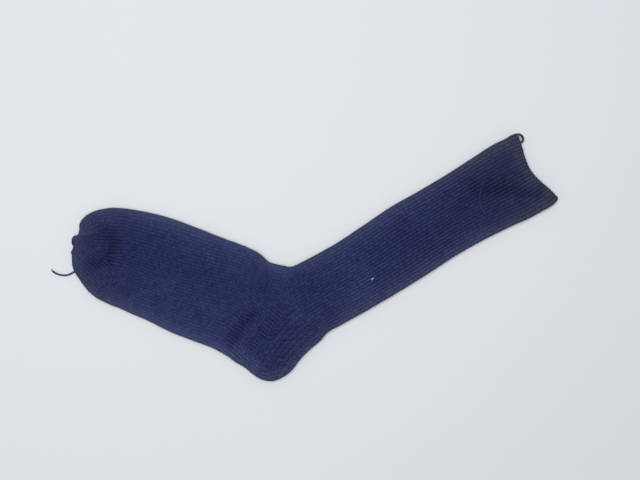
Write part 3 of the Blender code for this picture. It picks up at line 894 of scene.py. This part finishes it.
class Shell:
    """One stretch of the knitting: vertices, faces and charts of a closed thin shell.

    The outside comes first and the lining after it. Both are grids whose last column
    is the first one again.
    """

    def __init__(self, knitting, number):
        self.first = knitting.rings.starts[number]
        self.last = knitting.rings.starts[number + 1]
        self.at_toe = number == 0
        self.at_mouth = number == len(STRETCHES) - 1
        outer_end = self.last + 1 + (ROLL_ROWS if self.at_mouth else 0)
        self.outer = slice(self.first, outer_end)
        inner_end = self.last // ROWS_PER_COURSE + (0 if self.at_mouth else 1)
        self.inner = slice(self.first // ROWS_PER_COURSE, inner_end)
        outer_points = knitting.outside[self.outer, :-1].reshape(-1, 3)
        inner_points = knitting.inside[self.inner, :-1].reshape(-1, 3)
        self.points = np.concatenate([outer_points, inner_points])
        self.outer_count = len(outer_points)
        self.normals = np.concatenate([
            knitting.normal[self.outer, :-1].reshape(-1, 3),
            knitting.inside_normal[self.inner, :-1].reshape(-1, 3)])
        self.outer_ids = self.number(outer_end - self.first, COLUMNS, 0)
        self.inner_ids = self.number(self.inner.stop - self.inner.start,
                                     COLUMNS // LINING_STEP, self.outer_count)
        self.faces, self.charted = [], []
        self.lay_grid(self.outer_ids, OUTER_CHART, False)
        self.lay_grid(self.inner_ids, INNER_CHART, True)
        if not self.at_toe:
            self.lay_rim(0, False, NEAR_CHART)
        self.lay_rim(-1, True, FAR_CHART)

    def number(self, rows, columns, start):
        """Vertex numbers of a grid, with both layers of the toe's edge as one."""
        ids = start + np.arange(rows * columns).reshape(rows, columns)
        ids = np.concatenate([ids, ids[:, :1]], axis=1)
        if self.at_toe:
            half = columns // 2
            ids[0, half:] = ids[0, half::-1]
        return ids

    def lay_grid(self, ids, chart, inward):
        """Adds the faces of a grid, and where their corners lie on the chart."""
        low, high = chart
        rows, columns = ids.shape
        across = np.linspace(CHART_EDGE, 1 - CHART_EDGE, columns)
        down = np.linspace(low, high, rows)
        corner_u, corner_v = np.meshgrid(across, down)
        corners = [(slice(None, -1), slice(None, -1)), (slice(None, -1), slice(1, None)),
                   (slice(1, None), slice(1, None)), (slice(1, None), slice(None, -1))]
        if inward:
            corners.reverse()
        faces = np.stack([ids[corner].ravel() for corner in corners], axis=1)
        u = np.stack([corner_u[corner].ravel() for corner in corners], axis=1)
        v = np.stack([corner_v[corner].ravel() for corner in corners], axis=1)
        self.faces.append(faces)
        self.charted.append(np.stack([u, v], axis=2))

    def lay_rim(self, row, far, chart):
        """Closes one end of the shell between its outside and its lining."""
        low, high = chart
        columns = COLUMNS // LINING_STEP
        faces, charted = [], []
        for column in range(columns):
            start = column * LINING_STEP
            outer = self.outer_ids[row, start:start + LINING_STEP + 1]
            inner = self.inner_ids[row, column:column + 2]
            outer_u = np.linspace(column, column + 1, LINING_STEP + 1) / columns
            face = np.concatenate([outer[::-1], inner])
            u = np.concatenate([outer_u[::-1], np.array([column, column + 1]) / columns])
            v = np.concatenate([np.full(LINING_STEP + 1, high), np.full(2, low)])
            if far:
                face, u, v = face[::-1], u[::-1], v[::-1]
            faces.append(face)
            charted.append(np.stack([u, v], axis=1))
        self.faces.append(np.array(faces))
        self.charted.append(np.array(charted))

    def knit_chart(self, knitting):
        """The wale and course of every face corner, each face by its own zone."""
        rings, chart = knitting.rings, knitting.chart
        rows = self.last - self.first
        zone = chart.zone[self.first:self.last, :-1]
        corners = ((0, 0), (0, 1), (1, 1), (1, 0))
        found = []
        for down, right in corners:
            stack = [field[:, self.first + down:self.last + down,
                           right:right + COLUMNS] for field in chart.fields]
            found.append([np.choose(zone, [field[axis] for field in stack])
                          for axis in range(2)])
        found = np.array(found).transpose(2, 3, 0, 1).reshape(rows * COLUMNS, 4, 2)
        if self.at_mouth:
            found = np.concatenate([found, self.rolled_chart(found[-COLUMNS:])])
        return found

    def rolled_chart(self, last_row):
        """The chart of the rolled edge: one more course round it."""
        rows = []
        for row in range(ROLL_ROWS):
            part = last_row.copy()
            course = last_row[:, 2:3, 1] + row / ROWS_PER_COURSE
            part[:, :2, 1] = course
            part[:, 2:, 1] = course + 1 / ROWS_PER_COURSE
            rows.append(part)
        return np.concatenate(rows)

    def knit_blocks(self, knitting):
        """The chart of the stitches for every block of faces."""
        blocks = [self.knit_chart(knitting)]
        for corners in self.charted[1:]:
            blocks.append(corners * (STITCHES, COLUMNS))
        return blocks

    def field(self, knitting, name):
        """A value of every vertex; the lining is plain."""
        outer = knitting.field(name)[self.outer, :-1].reshape(-1, 3)
        inner = np.tile(LINING_LOOKS[name], (len(self.points) - self.outer_count, 1))
        return np.concatenate([outer, inner])


def flat_size(rings, first, last):
    """Width, length and area of a stretch cut open and laid out, in metres."""
    base = rings.base[first:last + 1]
    round_it = np.linalg.norm(np.diff(base, axis=1), axis=2)
    down = np.linalg.norm(np.diff(base, axis=0), axis=2)
    area = (round_it[:-1] * down[:, :-1]).sum()
    width = round_it.sum(axis=1).max()
    length = down.sum(axis=0).max()
    return width * MM, length * MM, area * MM * MM


def new_mesh(name, points, faces, smooth=True):
    """A mesh from points in mm and blocks of faces with equal numbers of corners."""
    mesh = bpy.data.meshes.new(name)
    mesh.vertices.add(len(points))
    mesh.vertices.foreach_set("co", (np.asarray(points) * MM).ravel())
    corners = np.concatenate([block.ravel() for block in faces])
    counts = np.concatenate([np.full(len(block), block.shape[1]) for block in faces])
    mesh.loops.add(len(corners))
    mesh.loops.foreach_set("vertex_index", corners.astype(np.int32))
    mesh.polygons.add(len(counts))
    starts = np.cumsum(counts) - counts
    mesh.polygons.foreach_set("loop_start", starts.astype(np.int32))
    mesh.polygons.foreach_set("use_smooth", np.full(len(counts), smooth))
    mesh.update(calc_edges=True)
    return mesh


def add_chart(mesh, name, corners):
    """A UV map from blocks of face corners, in the order of the faces."""
    layer = mesh.uv_layers.new(name=name)
    flat = np.concatenate([block.reshape(-1, 2) for block in corners])
    layer.uv.foreach_set("vector", flat.astype(np.float32).ravel())


def add_piece(name, mesh, material, slot, *nodes):
    """Puts a mesh in the scene as a piece of the sock that stands for CAD nodes."""
    piece = bpy.data.objects.new(name, mesh)
    bpy.context.scene.collection.objects.link(piece)
    mesh.materials.append(material)
    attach(piece, "root")
    if nodes:
        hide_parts(*nodes)
    return piece


def add_strands(name, tubes, material, slot, *nodes):
    """Puts tubes in the scene as one piece of the sock."""
    points, blocks = join_tubes(tubes)
    return add_piece(name, new_mesh(name, points, blocks), material, slot, *nodes)


class Wire:
    """A value, colour or vector in a material. Operators on values add Math nodes."""

    def __init__(self, finish, socket):
        self.finish = finish
        self.socket = socket

    def maths(self, operation, *values, clamp=False):
        """A Math node's result, kept from 0 to 1 where it is to be clamped."""
        settings = {"operation": operation, "use_clamp": clamp}
        return self.finish.node("ShaderNodeMath", settings, dict(enumerate(values)))

    def __add__(self, other):
        return self.maths("ADD", self, other)

    def __sub__(self, other):
        return self.maths("SUBTRACT", self, other)

    def __rsub__(self, other):
        return self.maths("SUBTRACT", other, self)

    def __mul__(self, other):
        return self.maths("MULTIPLY", self, other)

    __radd__ = __add__
    __rmul__ = __mul__

    def sine(self):
        return self.maths("SINE", self)

    def clamped(self):
        """The value kept from 0 to 1."""
        return self.maths("ADD", self, 0.0, clamp=True)

    def parts(self):
        """The three values that a vector holds."""
        return [self.finish.node("ShaderNodeSeparateXYZ", {}, {0: self}, output)
                for output in range(3)]

    def scaled(self, value):
        """A colour made lighter or darker by a value."""
        return self.finish.node("ShaderNodeVectorMath", {"operation": "SCALE"},
                                {0: self, 3: value})

    def tinted(self, other):
        """A colour with each of its parts made lighter or darker by another's."""
        return self.finish.node("ShaderNodeVectorMath", {"operation": "MULTIPLY"},
                                {0: self, 1: other})


class Finish:
    """A new material, and the one way that its nodes are added."""

    def __init__(self, name):
        self.material = bpy.data.materials.new(name)
        self.material.use_nodes = True
        self.tree = self.material.node_tree
        self.shader = self.tree.nodes["Principled BSDF"]

    def node(self, kind, settings, values, output=0):
        """Adds a node: its settings first, then values or wires for its sockets."""
        made = self.tree.nodes.new(kind)
        for setting, value in settings.items():
            setattr(made, setting, value)
        for socket, value in values.items():
            self.connect(made.inputs[socket], value)
        return Wire(self, made.outputs[output])

    def connect(self, socket, value):
        """Joins a wire to a socket, or sets the socket to a plain value."""
        if isinstance(value, Wire):
            self.tree.links.new(value.socket, socket)
        else:
            socket.default_value = value

    def blend(self, start, end, share):
        """Two colours mixed: start where share is 0, and end where it is 1."""
        return self.node("ShaderNodeMix", {"data_type": "RGBA"},
                         {0: share, 6: start, 7: end}, 2)

    def attribute(self, name):
        """A vector that the mesh holds at each of its points."""
        return self.node("ShaderNodeAttribute", {"attribute_name": name}, {}, "Vector")

    def place(self):
        """Where a point lies on the piece, in metres."""
        return self.node("ShaderNodeTexCoord", {}, {}, "Object")

    def noise(self, size, detail):
        """An uneven value about 0.5 whose patches are about size metres wide."""
        return self.node("ShaderNodeTexNoise", {"noise_dimensions": "3D"},
                         {"Vector": self.place(), "Scale": 1 / size, "Detail": detail},
                         "Fac")

    def bump(self, height, distance):
        """Normals for a height that is counted in a distance in metres."""
        return self.node("ShaderNodeBump", {}, {"Height": height, "Distance": distance,
                                                "Strength": 1.0})

    def paint(self, **sockets):
        """Sets the shader's sockets, named with _ for spaces, and gives the material."""
        for name, value in sockets.items():
            self.connect(self.shader.inputs[name.replace("_", " ")], value)
        return self.material


def from_screen(*colour):
    """A colour of a screen, 0 to 255 each, as the light that Blender works with."""
    parts = [part / 255 for part in colour]
    return tuple(part / 12.92 if part <= 0.04045 else ((part + 0.055) / 1.055) ** 2.4
                 for part in parts)


def opaque(colour, factor=1.0):
    """A colour for a socket, made lighter or darker by a factor."""
    return (*(part * factor for part in colour), 1.0)


# What the painted sheen and the soil do to the colour of the wool, and the bluer tint of its
# painted shade
UNTOUCHED = (1.0, 1.0, 1.0, 1.0)
SHEEN_TINT = (1.5, 1.51, 1.15, 1.0)
SOILED_TINT = (1.3, 1.08, 0.57, 1.0)
DEEP_TINT = (0.68, 0.78, 1.12, 1.0)
SHEEN_COLOUR = 0.25            # share of the edge sheen's colour where the painted sheen is full
WOOL_DEPTH = 0.8                # share of the wool's own light where no fuzz shows

# How wide the wool's patches, flecks of fuzz, specks and fibres are, in metres
PATCH, FLECK, SPECK, WOOL_FIBRE = 0.018, 0.00065, 0.0011, 0.00035
# How much a stitch's height paints it lighter, as painted highlight on its crests and painted
# shade in its grooves, and how much fuzz shows for the patches and for its own chance; how
# much for the flecks, and how much less of them under the painted sheen of the edges; and
# below what sum no fuzz shows
CREST_HIGHLIGHT, PATCH_FUZZ, STITCH_FUZZ = 0.7, 0.25, 0.35
FLECK_FUZZ, FLECK_FUZZ_LOST = 3.5, 1.8
LEAST_FUZZ = 0.36
# Specks: how sharp they are, below what they vanish, how many there are on the whole,
# and how much they change the light of the wool
SPECK_SHARPNESS, SPECK_START, SPECK_SHARE, SPECK_LIGHT = 4.0, 1.7, 0.35, 0.8
# The plies of the yarn, as angle for each course and each wale, and the bump of the
# plies, the fibres and the flecks, in all as a height in metres
PLY_COURSE, PLY_WALE = 18.85, 9.42
PLY_BUMP, FIBRE_BUMP, FLECK_BUMP, WOOL_BUMP = 0.35, 1.0, 0.5, 0.0002


def navy_wool(looks):
    """The knitted wool: dark navy, with painted highlights, painted shade and a grey painted
    sheen at its edges.
    """
    finish = Finish("navy wool")
    height, chance, rough = finish.attribute("stitch").parts()
    pale, shade, soil = finish.attribute("wear").parts()
    patches = finish.noise(PATCH, 1.0)
    flecks = finish.noise(FLECK, 2.0)
    specks = (finish.noise(SPECK, 1.0) * SPECK_SHARPNESS - SPECK_START).clamped()
    fibres = finish.noise(WOOL_FIBRE, 4.0)
    wale, course, _ = finish.node("ShaderNodeUVMap", {"uv_map": KNIT_CHART}, {}).parts()
    plies = (course * PLY_COURSE + wale * PLY_WALE).sine()

    # Painted highlight on the crests and painted shade in the grooves, from each stitch's
    # height, with the fuzz of patches, chances and flecks
    light = (height * CREST_HIGHLIGHT + patches * PATCH_FUZZ + chance * STITCH_FUZZ - LEAST_FUZZ
             + (flecks - 0.5) * (FLECK_FUZZ - FLECK_FUZZ_LOST * pale)).clamped()
    colour = finish.blend(opaque(looks.wool, WOOL_DEPTH), opaque(looks.fuzz), light)
    # Painted grey sheen along the folds and the cast-on edge
    colour = finish.blend(colour, opaque(looks.edge_sheen), pale * SHEEN_COLOUR)
    # Tints of the painted sheen, the soil and the painted shade
    for tint, share in ((SHEEN_TINT, pale), (SOILED_TINT, soil),
                        (DEEP_TINT, shade.clamped())):
        colour = colour.tinted(finish.blend(UNTOUCHED, tint, share))
    speckled = 1.0 + rough * (specks - SPECK_SHARE) * SPECK_LIGHT
    # Painted shade and painted light, with the specks
    colour = colour.scaled((1.0 - shade) * speckled)
    relief = plies * PLY_BUMP + fibres * FIBRE_BUMP + flecks * FLECK_BUMP
    return finish.paint(
        Base_Color=colour, Roughness=(0.82 + fibres * 0.16 + 0.05 * pale).clamped(),
        Sheen_Weight=looks.sheen, Sheen_Roughness=0.5,
        Sheen_Tint=opaque(looks.edge_sheen, 2.0), Specular_IOR_Level=0.1,
        Normal=finish.bump(relief, WOOL_BUMP))


def strand_finish(name, colour, sheen=0.3):
    """A loose strand: one colour, a little uneven, with fine fibres."""
    finish = Finish(name)
    uneven = finish.noise(0.0012, 2.0)
    fibres = finish.noise(0.0002, 3.0)
    shade = finish.blend(opaque(colour, 0.5), opaque(colour, 1.5),
                         (uneven * 0.6 + fibres * 0.4).clamped())
    return finish.paint(Base_Color=shade, Roughness=(0.8 + fibres * 0.18).clamped(),
                        Sheen_Weight=sheen, Sheen_Roughness=0.5, Specular_IOR_Level=0.25,
                        Normal=finish.bump(fibres, 0.00015))


def floor_finish(colour):
    """A plain pale floor with a faint even tooth."""
    finish = Finish("plain floor")
    tooth = finish.noise(0.0015, 2.0)
    shade = finish.blend(opaque(colour, 0.97), opaque(colour, 1.03), tooth)
    return finish.paint(Base_Color=shade, Roughness=0.9, Specular_IOR_Level=0.2)


def smooth_route(route, step):
    """Points evenly along a smooth curve through a route, about step mm apart."""
    places = np.linspace(0, len(route) - 1, MEASURED_PER_POINT * len(route))
    fine = along(route, places)
    run = np.insert(np.cumsum(np.linalg.norm(np.diff(fine, axis=0), axis=1)), 0, 0.0)
    marks = np.linspace(0, run[-1], max(int(run[-1] / step), 2) + 1)
    points = np.stack([np.interp(marks, run, fine[:, axis]) for axis in range(3)], axis=1)
    return points, marks


def frames_along(points):
    """Two directions square to a route at each point, which don't twist about it."""
    ahead = np.gradient(points, axis=0)
    ahead /= np.linalg.norm(ahead, axis=1, keepdims=True)
    side = np.cross(ahead[0], (0.0, 0.0, 1.0))
    if np.linalg.norm(side) < 0.1:
        side = np.cross(ahead[0], (0.0, 1.0, 0.0))
    sides = []
    for direction in ahead:
        side = side - direction * np.dot(side, direction)
        side = side / np.linalg.norm(side)
        sides.append(side)
    sides = np.array(sides)
    return sides, np.cross(ahead, sides)


def tube(route, radius_at, step, sides):
    """Points and faces of a closed tube; radius_at gives its radii from angle and run."""
    points, run = smooth_route(route, step)
    side, up = frames_along(points)
    angle = np.arange(sides) / sides * 2 * math.pi
    radius = radius_at(angle[None, :], run[:, None], run[-1])[:, :, None]
    rings = (points[:, None] + radius * (side[:, None] * np.cos(angle)[None, :, None]
                                         + up[:, None] * np.sin(angle)[None, :, None]))
    ids = np.arange(len(points) * sides).reshape(len(points), sides)
    after = np.roll(ids, -1, axis=1)
    walls = np.stack([ids[:-1], after[:-1], after[1:], ids[1:]], axis=2).reshape(-1, 4)
    ends = np.array([ids[0][::-1], ids[-1]])
    return rings.reshape(-1, 3), walls, ends


def tapered(radius, loss):
    """Radii of a strand that loses a share of its thickness on its way."""
    return lambda angle, run, whole: radius * (1 - loss * run / whole) + 0 * angle


def join_tubes(tubes):
    """One set of points and face blocks from several tubes with equal sides."""
    points, walls, ends = [], [], []
    count = 0
    for tube_points, tube_walls, tube_ends in tubes:
        points.append(tube_points)
        walls.append(tube_walls + count)
        ends.append(tube_ends + count)
        count += len(tube_points)
    return np.concatenate(points), [np.concatenate(walls), np.concatenate(ends)]


# A plied yarn, as shares of its thickness: where its plies lie and how thick they are,
# and how thin the yarn is at a tapered end
PLY_CENTRE, PLY_RADIUS, THIN_END = 0.21, 0.29, 0.35


def plied(width, lay, tapers):
    """Radii of three plies twisted together, each turn lay mm long.

    tapers is how far the start and the end of the yarn take to reach its full width.
    """
    centre, ply = PLY_CENTRE * width, PLY_RADIUS * width

    def radius(angle, run, whole):
        turned = angle + 2 * math.pi * run / lay
        from_ply = turned % (2 * math.pi / 3) - math.pi / 3
        reach = np.sqrt(np.maximum(ply ** 2 - (centre * np.sin(from_ply)) ** 2, 0))
        found = centre * np.cos(from_ply) + reach
        for way, taper in zip((run, whole - run), tapers):
            if taper:
                found = found * (THIN_END + (1 - THIN_END) * smooth_step(way / taper))
        return found
    return radius


def frayed(route, fray):
    """Fine loose fibres that fan out from a point of a yarn's route."""
    chance = np.random.default_rng(fray.seed)
    made = []
    for _ in range(fray.count):
        turn = math.radians(fray.heading + chance.normal(0, fray.spread))
        bend = chance.normal(0, FRAY_BEND)
        reach = fray.length * chance.uniform(0.5, 1.0)
        lift = chance.uniform(*FRAY_LIFT)
        start = np.array(route[fray.point]) + chance.uniform(-FRAY_ROOT, FRAY_ROOT, 3)
        points = []
        for part in FIBRE_PARTS:
            way = turn + bend * part
            step = np.array((math.cos(way), math.sin(way), lift * (1 - part)))
            x, y, z = start + reach * part * step
            points.append((x, y, max(z, FRAY_LOWEST)))
        made.append(tube(points, tapered(FRAY_RADIUS, 0.6), step=0.5, sides=5))
    return made


def edge_fibres(knitting):
    """Fine loose fibres that stand off the folds, the toe and the cast-on edge."""
    chance = np.random.default_rng(41)
    rows = len(knitting.outside)
    edge = [(row, column) for row in range(rows) for column in (0, COLUMNS // 2)]
    edge += [(0, column) for column in range(COLUMNS // 2)]
    edge += [(rows - 1 - ROLL_ROWS // 2, column) for column in range(COLUMNS)]
    made = []
    for row, column in edge:
        if chance.random() > FIBRE_SHARE:
            continue
        normal = knitting.normal[row, column]
        heading = normal + chance.normal(0, FIBRE_TURN, 3)
        bend = chance.normal(0, FIBRE_BEND, 3)
        reach = chance.uniform(*FIBRE_REACH)
        start = knitting.outside[row, column] - FIBRE_ROOT * normal
        route = start + reach * np.array([part * (heading + bend * part)
                                          for part in FIBRE_PARTS])
        route[:, 2] = np.maximum(route[:, 2], FIBRE)
        made.append(tube(route, tapered(FIBRE / 2, 0.5), step=0.4, sides=4))
    return made


class WoolLooks(bpy.types.PropertyGroup):
    """What a user would change about the knitting."""

    wool: FloatVectorProperty(
        name="Wool", description="Colour of the knitted wool", subtype="COLOR",
        default=from_screen(27, 32, 77), min=0.0, max=1.0)
    # Also the colour of the painted highlights on the crests of the stitches
    fuzz: FloatVectorProperty(
        name="Fuzz", description="Colour of the wool where its loose fibres show",
        subtype="COLOR", default=from_screen(54, 60, 97), min=0.0, max=1.0)
    # Colour of the painted grey sheen along the folds, also the tint of the shader's sheen
    edge_sheen: FloatVectorProperty(
        name="Edge sheen", description="Colour of the painted edge sheen along the edges",
        subtype="COLOR", default=from_screen(54, 61, 93), min=0.0, max=1.0)
    plain_depth: FloatProperty(
        name="Plain depth", description="How deep the plain stitches are",
        default=0.8 * MM, min=0.0, max=1.5 * MM, unit="LENGTH", precision=5)
    rib_depth: FloatProperty(
        name="Rib depth", description="How deep the grooves of the rib are",
        default=0.95 * MM, min=0.0, max=1.8 * MM, unit="LENGTH", precision=5)
    unevenness: FloatProperty(
        name="Unevenness", description="How much the stitches differ from each other",
        default=1.0, min=0.0, max=2.0, subtype="FACTOR")
    sheen: FloatProperty(
        name="Sheen", description="How much light the wool's loose fibres catch",
        default=0.12, min=0.0, max=1.0, subtype="FACTOR")


class YarnLooks(bpy.types.PropertyGroup):
    """What a user would change about the loose yarn and the lint."""

    yarn: FloatVectorProperty(
        name="Yarn", description="Colour of the yarn ends", subtype="COLOR",
        default=from_screen(25, 27, 55), min=0.0, max=1.0)
    lint: FloatVectorProperty(
        name="Lint", description="Colour of the fleck of fluff",
        subtype="COLOR", default=from_screen(196, 197, 182), min=0.0, max=1.0)
    hair: FloatVectorProperty(
        name="Hair", description="Colour of the stray hair", subtype="COLOR",
        default=from_screen(35, 40, 76), min=0.0, max=1.0)
    lay: FloatProperty(
        name="Lay", description="Length in which the plies turn once round the yarn",
        default=4.2 * MM, min=1 * MM, max=20 * MM, unit="LENGTH", precision=5)


class StageLooks(bpy.types.PropertyGroup):
    """What a user would change about the floor, the light and the camera."""

    floor: FloatVectorProperty(
        name="Floor", description="Colour of the floor", subtype="COLOR",
        default=from_screen(196, 198, 201), min=0.0, max=1.0)
    view_height: FloatProperty(
        name="View height", description="How far the camera stands over the floor",
        default=0.548, min=0.1, max=5.0, unit="LENGTH")
    light_power: FloatProperty(
        name="Light", description="Power of the large soft light", default=24.0,
        min=0.0, max=500.0, unit="POWER")
    sky: FloatProperty(
        name="Sky", description="Strength of the even light from all round",
        default=0.55, min=0.0, max=5.0)


class SOCK_OT_stage(bpy.types.Operator):
    """Set up the camera straight above, the pale floor and the soft light."""

    bl_idname = "sock.stage"
    bl_label = "Stage"

    def execute(self, context):
        looks = context.scene.sock_stage
        scene = context.scene
        scene.view_settings.view_transform = "Standard"
        lens = bpy.data.cameras.new("camera")
        lens.sensor_width = LENS_WIDTH
        lens.lens = LENS
        lens.clip_start = NEAREST_SEEN
        camera = bpy.data.objects.new("camera", lens)
        camera.location = (*VIEW_CENTRE, looks.view_height)
        scene.collection.objects.link(camera)
        scene.camera = camera
        self.add_floor(scene, looks)
        self.add_light(scene, looks)
        return {"FINISHED"}

    def add_floor(self, scene, looks):
        """The plain floor, just under the sock."""
        corners = [(side_x * FLOOR_HALF, side_y * FLOOR_HALF, -FLOOR_DROP)
                   for side_x, side_y in ((-1, -1), (1, -1), (1, 1), (-1, 1))]
        mesh = new_mesh("floor", corners, [np.array([[0, 1, 2, 3]])], smooth=False)
        mesh.materials.append(floor_finish(looks.floor))
        floor = bpy.data.objects.new("floor", mesh)
        scene.collection.objects.link(floor)

    def add_light(self, scene, looks):
        """One large soft light, and an even light from all round."""
        soft = bpy.data.lights.new("soft light", "AREA")
        soft.shape = "RECTANGLE"
        soft.size, soft.size_y = LIGHT_SIZE
        soft.energy = looks.light_power
        light = bpy.data.objects.new("soft light", soft)
        light.location = LIGHT_PLACE
        aim = -light.location
        light.rotation_euler = aim.to_track_quat("-Z", "Y").to_euler()
        scene.collection.objects.link(light)
        world = bpy.data.worlds.new("even light")
        world.use_nodes = True
        sky = world.node_tree.nodes["Background"]
        sky.inputs["Color"].default_value = SKY_COLOUR
        sky.inputs["Strength"].default_value = looks.sky
        scene.world = world


class SOCK_OT_yarn_ends(bpy.types.Operator):
    """Make the loose yarn: the tail and the curl at the toe, and the loop at the cuff."""

    bl_idname = "sock.yarn_ends"
    bl_label = "Yarn ends"

    def execute(self, context):
        looks = context.scene.sock_yarn
        yarn = strand_finish("wool yarn", looks.yarn)
        tail_route = [(x, y, TAIL_HEIGHT) for x, y in TAIL_ROUTE]
        for name, node, route, width, tapers in (
                ("tail_yarn", "toe_tail", tail_route, YARN, (0, 1.6)),
                ("curl_yarn", "toe_curl", TOE_CURL_ROUTE, YARN, (0.8, 0.8)),
                ("loop_yarn", "cuff_loop", CUFF_LOOP_ROUTE, LOOP_YARN, (0.8, 0.8))):
            strand = tube(route, plied(width, looks.lay / MM, tapers),
                          step=YARN_STEP, sides=YARN_SIDES)
            add_strands(name, [strand], yarn, "wool_yarn", node)
        strands = [strand for fray in FRAYS for strand in frayed(tail_route, fray)]
        fray = add_strands("tail_fray", strands, yarn, "wool_yarn")
        points, run = smooth_route(tail_route, 1.0)
        return {"FINISHED"}


class SOCK_OT_knitting(bpy.types.Operator):
    """Knit the sock in stretches from the toe to the cuff."""

    bl_idname = "sock.knitting"
    bl_label = "Knitting"

    def execute(self, context):
        looks = context.scene.sock_wool
        wool = navy_wool(looks)
        knitting = Knitting(looks)
        for number, stretch in enumerate(STRETCHES):
            shell = Shell(knitting, number)
            mesh = new_mesh(stretch.name, shell.points, shell.faces)
            mesh.normals_split_custom_set_from_vertices(shell.normals)
            add_chart(mesh, BAKE_CHART, shell.charted)
            add_chart(mesh, KNIT_CHART, shell.knit_blocks(knitting))
            for field in ("stitch", "wear"):
                layer = mesh.attributes.new(field, "FLOAT_VECTOR", "POINT")
                layer.data.foreach_set("vector", shell.field(knitting, field).ravel())
            piece = add_piece(stretch.name, mesh, wool, "navy_wool", "sock")
            width, length, area = flat_size(knitting.rings, shell.first, shell.last)
        add_strands("edge_fibres", edge_fibres(knitting),
                    strand_finish("loose fibres", looks.wool), "navy_wool")
        return {"FINISHED"}

    def trimmings(self, stretch):
        """The loose yarn that hangs on each stretch."""
        names = {"toe": ["curl_yarn"], "cuff": ["loop_yarn"]}.get(stretch.name, [])
        return [bpy.data.objects[name] for name in names]


class Surface:
    """The top of some pieces, which other things lie on."""

    def __init__(self, pieces):
        self.pieces = pieces
        bpy.context.view_layer.update()

    def top(self, x, y):
        """Height in mm of the highest piece at a place in plan."""
        start = (x * MM, y * MM, SOCK_TOP + OVER_SOCK)
        found = [piece.ray_cast(start, (0, 0, -1)) for piece in self.pieces]
        return max(place.z for hit, place, _, _ in found if hit) / MM


class SOCK_OT_lint(bpy.types.Operator):
    """Lay a stray hair and a fleck of fluff on the leg."""

    bl_idname = "sock.lint"
    bl_label = "Lint"

    def execute(self, context):
        looks = context.scene.sock_yarn
        surface = Surface([bpy.data.objects[stretch.name] for stretch in STRETCHES])
        hair = tube(self.hair_route(surface), self.hair_radius, step=0.6, sides=6)
        add_strands("stray_hair", [hair],
                    strand_finish("stray hair", looks.hair, HAIR_SHEEN), "wool_yarn")
        add_strands("fluff", self.fluff(surface), strand_finish("fluff", looks.lint),
                    "wool_yarn")
        return {"FINISHED"}

    def hair_route(self, surface):
        """The route of the hair, which lies across the tops of the ribs."""
        points, _ = smooth_route([(x, y, 0.0) for x, y in HAIR_ROUTE], 0.9)
        tops = np.array([surface.top(x, y) for x, y, _ in points])
        padded = np.pad(tops, HAIR_RIBS, mode="edge")
        held = [padded[start:start + 2 * HAIR_RIBS + 1].max()
                for start in range(len(tops))]
        lift = np.linspace(*HAIR_LIFT, len(points))
        return [(x, y, top + rise) for (x, y, _), top, rise in zip(points, held, lift)]

    @staticmethod
    def hair_radius(angle, run, whole):
        """Radii of the hair: finest at its upper end, with both ends rounded off."""
        start, end = HAIR_ENDS
        ends = np.sin(start + (end - start) * run / whole) ** HAIR_BLUNTNESS
        grown = HAIR_TOP + (1 - HAIR_TOP) * (run / whole) ** HAIR_GROWS
        return HAIR / 2 * ends * grown + 0 * angle

    def fluff(self, surface):
        """The strands of the fleck, which lie about one direction."""
        tubes = []
        chance = np.random.default_rng(31)
        for _ in range(FLECK_STRANDS):
            turn = math.radians(FLECK_RUN) + chance.normal(0, FLECK_TURN)
            reach = chance.uniform(*FLECK_REACH)
            middle = np.array(FLECK_PLACE) + chance.normal(0, FLECK_SPREAD, 2)
            bend = chance.uniform(-FLECK_BEND, FLECK_BEND)
            strand = []
            for part in np.linspace(-1, 1, 5):
                way = turn + bend * part
                at = middle + part * reach * np.array((math.cos(way), math.sin(way)))
                strand.append((*at, surface.top(*at) + chance.uniform(*FLECK_LIFT)))
            tubes.append(tube(strand, tapered(FLECK_STRAND / 2, 0), step=0.3, sides=6))
        return tubes


class SOCK_PT_sock(bpy.types.Panel):
    """Lists the steps that make the sock, and what a user would change."""

    bl_label = "Knitted sock"
    bl_space_type = "VIEW_3D"
    bl_region_type = "UI"
    bl_category = "Sock"

    def draw(self, context):
        for operator in OPERATORS:
            self.layout.operator(operator.bl_idname)
        for group in (context.scene.sock_wool, context.scene.sock_yarn,
                      context.scene.sock_stage):
            box = self.layout.box()
            for name in group.__annotations__:
                box.prop(group, name)


OPERATORS = (SOCK_OT_stage, SOCK_OT_yarn_ends, SOCK_OT_knitting, SOCK_OT_lint)
CLASSES = (WoolLooks, YarnLooks, StageLooks, *OPERATORS, SOCK_PT_sock)


def register():
    for kind in CLASSES:
        bpy.utils.register_class(kind)
    bpy.types.Scene.sock_wool = PointerProperty(type=WoolLooks)
    bpy.types.Scene.sock_yarn = PointerProperty(type=YarnLooks)
    bpy.types.Scene.sock_stage = PointerProperty(type=StageLooks)


def unregister():
    del bpy.types.Scene.sock_stage
    del bpy.types.Scene.sock_yarn
    del bpy.types.Scene.sock_wool
    for kind in reversed(CLASSES):
        bpy.utils.unregister_class(kind)


def main():
    register()
    bpy.ops.sock.stage()
    bpy.ops.sock.yarn_ends()
    bpy.ops.sock.knitting()
    bpy.ops.sock.lint()


if __name__ == "__main__":
    main()
